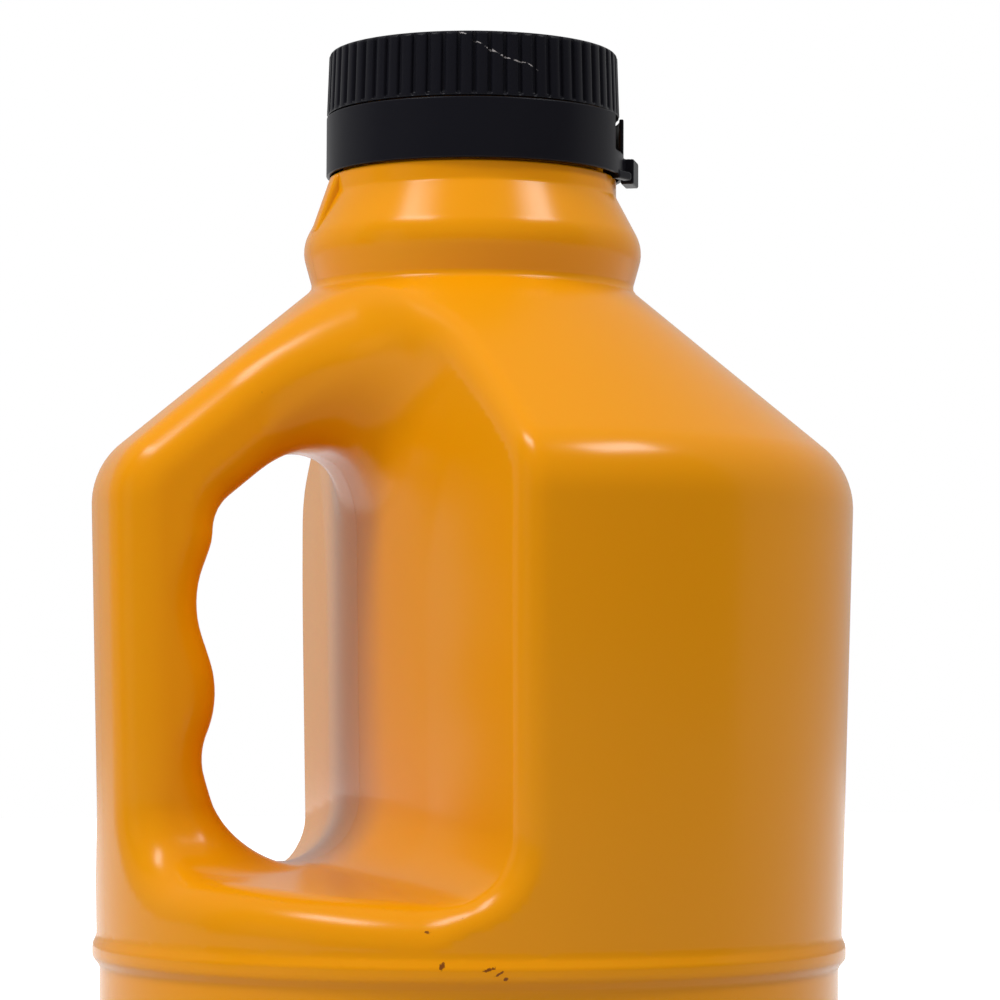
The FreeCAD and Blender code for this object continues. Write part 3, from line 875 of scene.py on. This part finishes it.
@dataclass
class BlownJug:
    """The blown jug: body, hollow handle and threaded neck, hollow inside."""

    shape: JugShape = field(default_factory=JugShape)
    seam: float = 262.0
    fine: float = 1.85
    coarse: float = 3.7
    bore: float = 27.2
    finish: float = 29.6
    bead: float = 32.2
    bead_top: float = 283.0
    bead_width: float = 3.2
    top: float = 298.4
    # Heights from and to, and the grid's spacing there as a share of its step.
    spans: tuple[Triple, ...] = (
        (-1.0, 29.0, 0.55),
        (29.0, 93.0, 1.2),
        (93.0, 103.0, 0.5),
        (103.0, 240.0, 1.0),
    )
    neck_share: float = 0.65

    def heights(self, step: float) -> Array:
        """Grid heights up to the seam, closer where the rolls and the neck are."""
        rows = [np.arange(low, high - 1e-6, share * step) for low, high, share in self.spans]
        low = self.spans[-1][1]
        count = math.ceil((self.seam - low) / (self.neck_share * step)) + 1
        return np.concatenate(rows + [np.linspace(low, self.seam, count)])

    def shell(self, level: float, step: float) -> tuple[Array, Array, Array]:
        """One side of the wall below the seam.

        Args:
            level: Signed distance of that side, 0 outside.
            step: Spacing of the grid.

        Returns:
            Points, four-cornered faces that look outwards, and the ring of points at the seam.
        """
        half = math.ceil(self.shape.shoulder_radius / step + 1) * step
        across = np.linspace(-half, half, round(2 * half / step) + 1)
        aside = across + OFF_GRID * step
        heights = self.heights(step)
        x, y, z = across[:, None, None], aside[None, :, None], heights[None, None, :]
        turned = self.shape.turned_quickly(np.hypot(x, y) + 0 * z, z + 0 * x + 0 * y)
        hole = self.shape.hole.distance(x[:, :, 0] + 0 * heights, heights + 0 * x[:, :, 0])
        values = self.shape.skin(x, y, z, turned, hole[:, None, :]) - level
        points, faces = surface_net(values, (across, aside, heights))
        rim = np.flatnonzero(points[:, 2] > heights[-2])
        points = self.shape.evened(points, faces, level, 1.0)
        points[rim, 2] = self.seam
        for _ in range(4):
            slope = self.shape.slope(points[rim])
            flat = np.maximum(slope[:, 0] ** 2 + slope[:, 1] ** 2, LEAST_SLOPE)
            move = (self.shape.exact(points[rim]) - level) / flat
            points[rim, :2] -= move[:, None] * slope[:, :2]
        order = np.argsort(np.arctan2(points[rim, 1], points[rim, 0]))
        return points, faces, rim[order]

    def neck_path(self) -> tuple[Array, Array]:
        """The neck's section above the seam, up the outside, over the lip and down the bore.

        Returns:
            Rows of radius and height, and their outward normals.
        """
        shape = self.shape
        foot = self.bead_top - self.bead_width
        path = Outline(
            [
                (shape.neck_radius, shape.neck_height, 0.0),
                (shape.bulge_radius, shape.bulge_height, shape.bulge_round),
                (shape.collar_radius, shape.collar_bottom, shape.neck_round),
                (shape.collar_radius, shape.collar_top, 0.5),
                (self.finish, shape.collar_top, 0.5),
                (self.finish, foot, 0.4),
                (self.bead, foot, 0.4),
                (self.bead, foot + self.bead_width / 2, 0.4),
                (self.finish, self.bead_top, 0.5),
                (self.finish, self.top, 0.8),
                (self.bore, self.top, 0.7),
                (self.bore, shape.collar_bottom, shape.neck_round),
                (shape.bulge_radius - shape.wall, shape.bulge_height, shape.bulge_round - shape.wall),
                (shape.neck_radius - shape.wall, shape.neck_height, 0.0),
            ]
        )
        rows = path.points(self.seam + 0.5, 0.35)
        changes = [
            path.distance(*(rows + shift).T) - path.distance(*(rows - shift).T)
            for shift in ((0.01, 0.0), (0.0, 0.01))
        ]
        normals = np.stack(changes, axis=1)
        return rows, normals / np.hypot(*normals.T)[:, None]

    def body(self) -> Piece:
        """The jug's wall as one closed mesh."""
        out, out_faces, out_ring = self.shell(0.0, self.fine)
        inner, inner_faces, inner_ring = self.shell(-self.shape.wall, self.coarse)
        turn = np.arctan2(out[out_ring, 1], out[out_ring, 0])
        rows, section = self.neck_path()
        count = len(turn)
        sweep = np.stack([np.cos(turn), np.sin(turn)], axis=1)
        neck = np.concatenate(
            [np.column_stack([sweep * radius, np.full(count, height)]) for radius, height in rows]
        )
        neck_normals = np.concatenate(
            [np.column_stack([sweep * radial, np.full(count, rise)]) for radial, rise in section]
        )
        first = len(out) + len(inner)
        rings = [out_ring] + [first + k * count + np.arange(count) for k in range(len(rows))]
        points = np.concatenate([out, inner, neck])
        closing = zipped(rings[-1], inner_ring + len(out), points)
        sides = [self.shape.normals(out), -self.shape.normals(inner), neck_normals]
        normals = np.concatenate(sides)
        quads = np.concatenate([out_faces, inner_faces[:, ::-1] + len(out), joined(rings)])
        return build_mesh("jug_body", points, [quads, closing], normals)


def lathe(rows: Array, turns: Array, push: Array) -> tuple[Array, list[Array]]:
    """Turns a section that starts and ends on the axis about Z, and closes it there.

    Args:
        rows: Radius and height along the section, with its material on the left.
        turns: The angles at which it is repeated.
        push: Extra radius for each row between the two ends, and each angle.

    Returns:
        Points and arrays of faces.
    """
    rows = rows[1:-1]
    count = len(turns)
    radius = rows[:, :1] + push
    height = np.broadcast_to(rows[:, 1:], radius.shape)
    sides = np.stack([radius * np.cos(turns), radius * np.sin(turns), height], axis=2).reshape(-1, 3)
    points = np.concatenate([sides, [[0.0, 0.0, rows[0, 1]], [0.0, 0.0, rows[-1, 1]]]])
    rings = np.arange(len(sides)).reshape(-1, count)
    start, end = np.full(count, len(sides)), np.full(count, len(sides) + 1)
    fan = np.column_stack([start, np.roll(rings[0], -1), rings[0]])
    cap = np.column_stack([end, rings[-1], np.roll(rings[-1], -1)])
    return points, [joined(rings), np.concatenate([fan, cap])]


def plate(name: str, corners: list[Pair], thick: float, bevel: float) -> Piece:
    """A plate in the XZ plane with rounded edges.

    Args:
        name: Name of the piece.
        corners: Its outline across and up, counter-clockwise as seen from -Y.
        thick: Its thickness across the parting plane.
        bevel: Size of the rounds.

    Returns:
        The piece.
    """
    form = bmesh.new()
    sides = [
        [form.verts.new((MM * x, MM * y, MM * z)) for x, z in corners]
        for y in (-thick / 2, thick / 2)
    ]
    form.faces.new(sides[0])
    form.faces.new(sides[1][::-1])
    for i, corner in enumerate(sides[0]):
        form.faces.new((sides[0][i - 1], sides[1][i - 1], sides[1][i], corner)[::-1])
    form.normal_update()
    bmesh.ops.recalc_face_normals(form, faces=form.faces)
    bmesh.ops.bevel(form, geom=form.edges[:], offset=MM * bevel, segments=4, profile=0.5, affect="EDGES")
    mesh = bpy.data.meshes.new(name)
    form.to_mesh(mesh)
    form.free()
    mesh.shade_smooth()
    mesh.set_sharp_from_angle(angle=math.radians(45.0))
    return added(name, mesh)


@dataclass
class ThreadRidge:
    """A helical ridge on a round wall, run out at both ends."""

    name: str
    wall: float
    crest: float
    start: float
    turns: float
    lead: float = 4.2
    root_width: float = 2.2
    crest_width: float = 1.0
    crest_round: float = 0.12
    knee: float = 0.85
    buried: float = 0.25
    run_out: float = math.radians(22.0)
    step: float = 4.0
    sharp: float = math.radians(50.0)

    def build(self) -> Piece:
        """The ridge as one closed mesh."""
        sweep = 2.0 * math.pi * self.turns
        turns = np.linspace(0.0, sweep, round(math.degrees(sweep) / self.step) + 1)
        grow = smooth_step(0.0, self.run_out, np.minimum(turns, sweep - turns))
        sign = 1.0 if self.crest > self.wall else -1.0
        tall = self.crest - self.wall
        half = [
            (-sign * self.buried, -self.root_width / 2),
            (self.knee * tall, -self.crest_width / 2 - self.crest_round),
            (tall, -self.crest_width / 2 + self.crest_round),
        ]
        section = half + [(out, -up) for out, up in half[::-1]]
        rings = []
        for out, up in section:
            share = 1.0 if out * sign < 0.0 else 0.0
            radius = self.wall + out * (share + (1.0 - share) * grow)
            height = self.start + self.lead * turns / (2.0 * math.pi) + up
            rings.append(np.column_stack([radius * np.cos(turns), radius * np.sin(turns), height]))
        count, size = len(turns), len(section)
        points = np.stack(rings, axis=1).reshape(-1, 3)
        grid = np.arange(count * size).reshape(count, size)
        low, high = grid[:-1], grid[1:]
        quads = np.stack([low, high, np.roll(high, -1, axis=1), np.roll(low, -1, axis=1)], axis=2)
        quads = quads.reshape(-1, 4)
        ends = np.array([grid[0], grid[-1][::-1]])
        if sign < 0.0:
            quads, ends = quads[:, ::-1], ends[:, ::-1]
        piece = build_mesh(self.name, points, [quads, ends])
        piece.data.set_sharp_from_angle(angle=self.sharp)
        return piece


@dataclass
class ScrewCap:
    """The ribbed cap: a shell with 60 grip ribs, a liner keeper and its thread."""

    top: float = 301.5
    foot: float = 287.1
    top_radius: float = 32.8
    foot_radius: float = 33.3
    plate: float = 1.8
    bore: float = 31.2
    keeper: float = 30.0
    keeper_top: float = 298.4
    keeper_width: float = 0.7
    edge: float = 1.1
    ribs: int = 60
    groove: float = 0.7
    groove_share: float = 0.2
    crown: float = 0.12
    foot_ramp: Pair = (0.1, 1.1)
    wall_ramp: Pair = (0.8, 1.4)
    sharp: float = math.radians(38.0)
    rib_steps: tuple[float, ...] = (0.0, 0.08, 0.13, 0.17, 0.22, 0.34, 0.5, 0.66, 0.78, 0.83, 0.87, 0.92)
    side_steps: tuple[float, ...] = (0.012, 0.025, 0.04, 0.055, 0.07, 0.09, 0.2, 0.4, 0.6, 0.8, 1.0)

    def shell(self) -> Piece:
        """The cap's shell as one closed mesh."""
        under = self.top - self.plate
        section = Outline(
            [
                (0.0, under, 0.0),
                (self.bore, under, 0.3),
                (self.bore, self.keeper_top, 0.1),
                (self.keeper, self.keeper_top, 0.1),
                (self.keeper, self.keeper_top - self.keeper_width, 0.1),
                (self.bore, self.keeper_top - 2 * self.keeper_width, 0.3),
                (self.bore, self.foot, 0.3),
                (self.foot_radius, self.foot, 0.3),
                (self.top_radius, self.top, self.edge),
                (0.0, self.top, 0.0),
            ]
        )
        rows = self.divided(section.points(0.0, 0.2))
        steps = np.arange(self.ribs)[:, None] + np.array(self.rib_steps)
        turns = (steps / self.ribs).ravel() * 2.0 * math.pi
        near = np.abs((turns * self.ribs / (2.0 * math.pi) + 0.5) % 1.0 - 0.5)
        cut = 1.0 - smooth_step(0.4 * self.groove_share, self.groove_share, near)
        crown = self.crown * smooth_step(self.groove_share, 0.5, near) - self.crown
        radius, height = rows[1:-1].T
        out, up = radius - self.bore, height - self.foot
        depth = np.where(out > 0.9, 1.0, 0.0)
        depth *= 1.0 - smooth_step(self.top - self.edge, self.top - 0.05, height)
        depth *= smooth_step(*self.wall_ramp, out)
        grooved = self.groove * smooth_step(*self.foot_ramp, up)
        push = depth[:, None] * (crown - grooved[:, None] * cut)
        points, faces = lathe(rows, turns, push)
        piece = build_mesh("cap_shell", points, faces)
        piece.data.set_sharp_from_angle(angle=self.sharp)
        return piece

    def divided(self, rows: Array) -> Array:
        """The section with its long run up the ribs cut into short ones."""
        parts = [rows[:1]]
        for start, end in zip(rows[:-1], rows[1:]):
            long = abs(end[1] - start[1]) > 4.0 and start[0] > self.bore + 1.0
            steps = np.array(self.side_steps if long else self.side_steps[-1:])
            parts.append(start + steps[:, None] * (end - start))
        return np.concatenate(parts)


@dataclass
class BandShape(Form):
    """Sizes of the tear-off band and the signed distance to its skin, in millimetres."""

    low: float = 273.3
    high: float = 286.8
    outside: float = 33.8
    wall: float = 1.0
    catch: float = 279.5
    lip: float = 1.3
    lip_width: float = 1.6
    window_turn: float = math.radians(-31.0)
    window_half: float = 4.5
    window_deep: float = 6.0
    window_over: float = 2.0
    window_foot: float = 278.6
    tab_turn: float = math.radians(-21.0)
    tab_length: float = 8.0
    tab_tall: float = 5.7
    tab_half: float = 1.5
    tab_spread: float = math.radians(8.0)
    tab_shift: Triple = (-0.2, -0.5, -1.2)
    lug_turn: float = math.radians(-33.0)
    lug_half: Triple = (1.1, 2.6, 0.9)
    lug_lean: float = 0.35
    lug_shift: Pair = (0.5, 1.5)
    join: float = 0.4
    aside: Pair = (0.45, -0.15)
    soft: float = 0.3

    def __post_init__(self) -> None:
        """Draws the ring's section."""
        inner = self.outside - self.wall
        corners = [
            (inner, self.low),
            (self.outside, self.low),
            (self.outside, self.high),
            (inner, self.high),
            (inner, self.catch),
            (inner - self.lip, self.catch),
            (inner - self.lip, self.catch - self.lip_width / 2),
            (inner, self.catch - self.lip_width),
        ]
        middle = (inner + self.wall / 2, self.low, 0.0)
        rounds = [self.soft, self.soft, self.soft, self.soft, 0.2, 0.15, 0.15, 0.2]
        ring = [(*corner, size) for corner, size in zip(corners, rounds)]
        self.ring = Outline([middle] + ring[1:] + ring[:1] + [middle])

    def boxed(
        self,
        points: Array,
        turn: float,
        middle: Triple,
        half: Triple,
        lean: float = 0.0,
    ) -> Array:
        """Signed distance to a block placed round the neck.

        Args:
            points: Rows of x, y and z.
            turn: Where the block stands round Z.
            middle: Its middle: out from the axis, along the ring and up.
            half: Half its size in those directions.
            lean: Its turn about its own upright axis.

        Returns:
            One distance for each row.
        """
        c, s = math.cos(turn), math.sin(turn)
        out = c * points[:, 0] + s * points[:, 1] - middle[0]
        along = -s * points[:, 0] + c * points[:, 1] - middle[1]
        c, s = math.cos(lean), math.sin(lean)
        place = np.stack([c * out - s * along, s * out + c * along, points[:, 2] - middle[2]], axis=1)
        far = np.abs(place) - np.array(half) + self.soft
        outside = np.sqrt((np.maximum(far, 0.0) ** 2).sum(axis=1))
        return outside + np.minimum(far.max(axis=1), 0.0) - self.soft

    def exact(self, points: Array) -> Array:
        """Signed distance at rows of x, y and z."""
        points = points - np.array([*self.aside, 0.0])
        ring = self.ring.distance(np.hypot(points[:, 0], points[:, 1]), points[:, 2])
        tall = self.high + self.window_over - self.window_foot
        middle = (self.outside, 0.0, self.window_foot + tall / 2)
        half = (self.window_deep, self.window_half, tall / 2)
        window = self.boxed(points, self.window_turn, middle, half)
        band = round_both(ring, -window, self.soft)
        root = self.outside - self.wall / 2
        long = self.tab_length / 2
        middle = (
            root + self.tab_half + math.sin(self.tab_spread) * long + self.tab_shift[0],
            math.cos(self.tab_spread) * long + self.tab_shift[1],
            self.low + self.tab_tall / 2 + self.tab_shift[2],
        )
        half = (self.tab_half, long, self.tab_tall / 2)
        tab = self.boxed(points, self.tab_turn, middle, half, self.tab_spread)
        middle = (root + self.lug_shift[0], self.lug_shift[1], self.low)
        lug = self.boxed(points, self.lug_turn, middle, self.lug_half, self.lug_lean)
        return -round_both(-band, -np.minimum(tab, lug), self.join)


@dataclass
class TearBand:
    """The tear-off band with its window and pull tab."""

    shape: BandShape = field(default_factory=BandShape)
    fine: float = 0.42
    flatter: float = 0.9
    below: float = 2.2
    above: float = 1.0
    margin: float = 5.0
    inwards: float = 4.0
    outwards: float = 6.0

    def ring(self) -> Piece:
        """The band as one closed mesh."""
        shape = self.shape
        half = shape.outside + self.margin
        across = np.arange(-half, half + self.fine, self.fine)
        heights = np.arange(shape.low - self.below, shape.high + self.above, self.flatter * self.fine)
        aside = across + OFF_GRID * self.fine
        grid = np.stack(np.meshgrid(across, aside, heights, indexing="ij"), axis=-1)
        reach = np.hypot(grid[..., 0], grid[..., 1])
        near = (reach > shape.outside - self.inwards) & (reach < shape.outside + self.outwards)
        values = np.full(near.shape, self.margin)
        values[near] = shape.exact(grid[near])
        points, faces = surface_net(values, (across, aside, heights))
        points = shape.evened(points, faces, 0.0, 0.2)
        return build_mesh("tear_ring", points, [faces], shape.normals(points))


@dataclass(frozen=True)
class Lamp:
    """A soft rectangular lamp: where it stands, its size in metres and its power in watts."""

    name: str
    place: Triple
    size: Pair
    power: float
    seen: bool = True

    def build(self, aim: Vector) -> None:
        """Adds the lamp, facing the aim; gloss shows it when it is seen."""
        data = bpy.data.lights.new(self.name, "AREA")
        data.shape = "RECTANGLE"
        data.size, data.size_y = self.size
        data.energy = self.power
        lamp = added(self.name, data)
        lamp.location = self.place
        lamp.rotation_euler = (aim - Vector(self.place)).to_track_quat("-Z", "Y").to_euler()
        lamp.visible_glossy = self.seen


LAMPS = (
    Lamp("left_box", (-0.64, -0.23, 1.12), (0.4, 0.2), 5.7),
    Lamp("right_box", (0.46, -0.49, 1.12), (0.36, 0.2), 4.9),
    Lamp("left_fill", (-1.4, -0.3, 0.35), (0.6, 0.9), 5.5, seen=False),
)


@dataclass
class Studio:
    """Pale floor, plain soft light and the camera: lengths in metres, the lens in millimetres."""

    distance: float = 0.823
    eye: float = 0.154
    turn: float = math.radians(-18.8)
    pitch: float = math.radians(3.21)
    roll: float = math.radians(0.24)
    aside: float = 0.00648
    lens: float = 131.0
    sensor: float = 36.0
    clip: Pair = (0.01, 20.0)
    ambient: float = 0.55
    gloss_share: float = 0.1
    lamp_aim: Triple = (0.0, 0.0, 0.17)
    floor_size: float = 8.0
    floor_drop: float = 0.0005
    room: float = 2.2
    room_tall: float = 3.0
    dark_spread: float = 85.0
    dark_panels: int = 24
    paper_glow: dict[str, float] = field(
        default_factory=lambda: {"From Min": 0.25, "From Max": 1.0, "To Min": 0.6, "To Max": 0.95}
    )

    def camera(self) -> None:
        """Sets the camera at the viewing angle wanted."""
        data = bpy.data.cameras.new("camera")
        data.sensor_width = self.sensor
        data.lens = self.lens
        data.clip_start, data.clip_end = self.clip
        camera = added("camera", data)
        forward = Vector((-math.sin(self.turn), math.cos(self.turn), 0.0))
        right = Vector((math.cos(self.turn), math.sin(self.turn), 0.0))
        place = -forward * self.distance + right * self.aside
        place.z = self.eye
        aim = forward * math.cos(self.pitch) + Vector((0, 0, math.sin(self.pitch)))
        turn = aim.to_track_quat("-Z", "Y").to_matrix().to_4x4()
        camera.matrix_world = Matrix.Translation(place) @ turn @ Matrix.Rotation(self.roll, 4, "Z")
        bpy.context.scene.camera = camera

    def paper(self) -> bpy.types.Material:
        """White paper, whiter far off, with the jug's own shadow in it; clear from below."""
        shader = Shader("white_paper")
        path = shader.node("LightPath").outputs
        seen = shader.maths("MAXIMUM", path["Is Camera Ray"], path["Is Glossy Ray"])
        glow = shader.mapped(shader.length(shader.place), self.paper_glow)
        shader.set(
            Base_Color=(0.5, 0.5, 0.5, 1.0),
            Roughness=0.9,
            Specular_IOR_Level=0.1,
            Emission_Color=WHITE,
            Emission_Strength=shader.maths("MULTIPLY", seen, glow),
        )
        back = shader.node("NewGeometry").outputs["Backfacing"]
        clear = shader.node("BsdfTransparent").outputs["BSDF"]
        above = shader.node("MixShader", {"Fac": back, 1: shader.principled.outputs["BSDF"], 2: clear})
        shader.fed(shader.tree.nodes["Material Output"], {"Surface": above.outputs[0]})
        return shader.material

    def floor(self) -> None:
        """A wide pale floor."""
        bpy.ops.mesh.primitive_plane_add(size=self.floor_size, location=(0.0, 0.0, -self.floor_drop))
        plane = bpy.context.object
        plane.name = "floor"
        plane.data.materials.append(self.paper())

    def dark_half(self) -> None:
        """The unlit half of the room behind the camera, which only gloss shows."""
        facing = math.atan2(-math.cos(self.turn), math.sin(self.turn))
        spread = np.linspace(-self.dark_spread, self.dark_spread, self.dark_panels + 1)
        turns = facing + np.radians(spread)
        ring = np.column_stack([np.cos(turns), np.sin(turns), 0.0 * turns])
        low = self.room / MM * ring
        high = low + np.array([0.0, 0.0, self.room_tall / MM])
        near = np.arange(self.dark_panels)
        above = near + self.dark_panels + 1
        quads = np.column_stack([near, near + 1, above + 1, above])
        wall = build_mesh("dark_half", np.concatenate([low, high]), [quads])
        wall.visible_camera = wall.visible_diffuse = False
        wall.visible_shadow = wall.visible_transmission = False
        cloth = Shader("dark_cloth")
        cloth.set(Base_Color=(0.02, 0.02, 0.02, 1.0))
        wall.data.materials.append(cloth.material)

    def world(self) -> None:
        """A white surround for the eye, a little of it for gloss, and a softer one for light."""
        world = bpy.data.worlds.new("surround")
        world.use_nodes = True
        bpy.context.scene.world = world
        nodes = Nodes(world.node_tree)
        path = nodes.node("LightPath").outputs
        gloss = nodes.maths("MULTIPLY", path["Is Glossy Ray"], self.gloss_share)
        seen = nodes.maths("MAXIMUM", path["Is Camera Ray"], gloss)
        white = nodes.maths("MAXIMUM", seen, path["Is Transmission Ray"])
        level = nodes.mapped(white, {"To Min": self.ambient, "To Max": 1.0})
        nodes.fed(nodes.tree.nodes["Background"], {"Color": WHITE, "Strength": level})

    def build(self) -> None:
        """Builds the whole studio."""
        self.camera()
        self.floor()
        self.world()
        self.dark_half()
        for lamp in LAMPS:
            lamp.build(Vector(self.lamp_aim))
        bpy.context.scene.view_settings.view_transform = "Standard"


JUG_PLASTIC = BlownPlastic(
    colour=linear(221, 141, 3),
    pale=linear(228, 150, 10),
    dirt=linear(122, 66, 16),
    marks=(
        Mark((-34.4, -75.8, 107.9), (1.4, 0.9, 0.45), (0.0, 24.0, 0.0), 0.6),
        Mark((-27.6, -78.3, 110.7), (0.5, 0.8, 0.35)),
        Mark((-25.7, -78.4, 113.9), (0.45, 0.9, 0.25)),
        Mark((-31.7, -78.1, 101.0), (0.5, 0.9, 1.1), (0.0, 24.0, 0.0)),
        Mark((-22.7, -81.2, 100.4), (1.5, 0.9, 0.38), (0.0, -12.0, 0.0), 0.6),
        Mark((-20.6, -81.8, 99.6), (1.3, 0.9, 0.25), (0.0, -32.0, 0.0), 0.6),
        Mark((-19.3, -81.9, 98.6), (0.6, 0.9, 0.5)),
    ),
)
CAP_PLASTIC = MouldedPlastic(
    colour=linear(19, 19, 25),
    rubbed=linear(40, 40, 48),
    scuff=linear(150, 146, 146),
    marks=(
        Mark((-12.9, -30.6, 301.2), (1.6, 1.2, 0.16), (0.0, 34.0, 22.0), 0.7),
        Mark((-9.9, -31.6, 299.2), (1.7, 1.2, 0.18), (0.0, 32.0, 18.0), 0.7),
        Mark((-6.7, -32.4, 297.3), (1.7, 1.2, 0.22), (0.0, 28.0, 12.0), 0.7),
        Mark((-3.6, -32.9, 295.8), (1.6, 1.2, 0.22), (0.0, 24.0, 6.0), 0.7),
        Mark((0.0, -33.1, 294.8), (1.8, 1.2, 0.16), (0.0, 8.0, 0.0), 0.6),
        Mark((2.6, -33.0, 294.0), (1.5, 1.2, 0.16), (0.0, 30.0, -4.0), 0.5),
    ),
)
WEB = [(-30.5, 259.0), (-37.9, 259.0), (-33.0, 272.9), (-30.5, 272.9)]
LINER_FOAM = Foam(linear(236, 236, 232), linear(214, 214, 208))


def main() -> None:
    """Builds the pieces and the studio."""
    logging.basicConfig(level=logging.INFO, format="%(name)s: %(message)s")
    Studio().build()
    effects = Effects(grain_effect(), specks_effect(), mark_effect(), edge_effect())
    hdpe = JUG_PLASTIC.material("jug_hdpe", effects)
    black = CAP_PLASTIC.material("cap_black", effects)
    foam = LINER_FOAM.material("liner_foam", effects)
    jug, cap, band = BlownJug(), ScrewCap(), TearBand()
    neck_thread = ThreadRidge("neck_thread", wall=29.6, crest=30.9, start=286.9, turns=1.75)
    cap_thread = ThreadRidge("cap_thread", wall=31.2, crest=29.9, start=289.25, turns=1.25)
    pieces = (
        (jug.body(), Body.JUG, "bottle", Slot.JUG, hdpe),
        (neck_thread.build(), Body.JUG, "bottle", Slot.JUG, hdpe),
        (plate("neck_web", WEB, thick=5.5, bevel=1.1), Body.JUG, "bottle", Slot.JUG, hdpe),
        (band.ring(), Body.JUG, "tear_band", Slot.CAP, black),
        (cap.shell(), Body.CAP, "screw_cap", Slot.CAP, black),
        (cap_thread.build(), Body.CAP, "screw_cap", Slot.CAP, black),
    )
    for piece, body, node, slot, finish in pieces:
        piece.data.materials.append(finish)
        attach(piece, body.value)
        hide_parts(node)
        LOG.info("%s: %d faces on %s", piece.name, len(piece.data.polygons), body.value)
    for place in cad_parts["cap_liner"].material_slots:
        place.material = foam


if __name__ == "__main__":
    main()
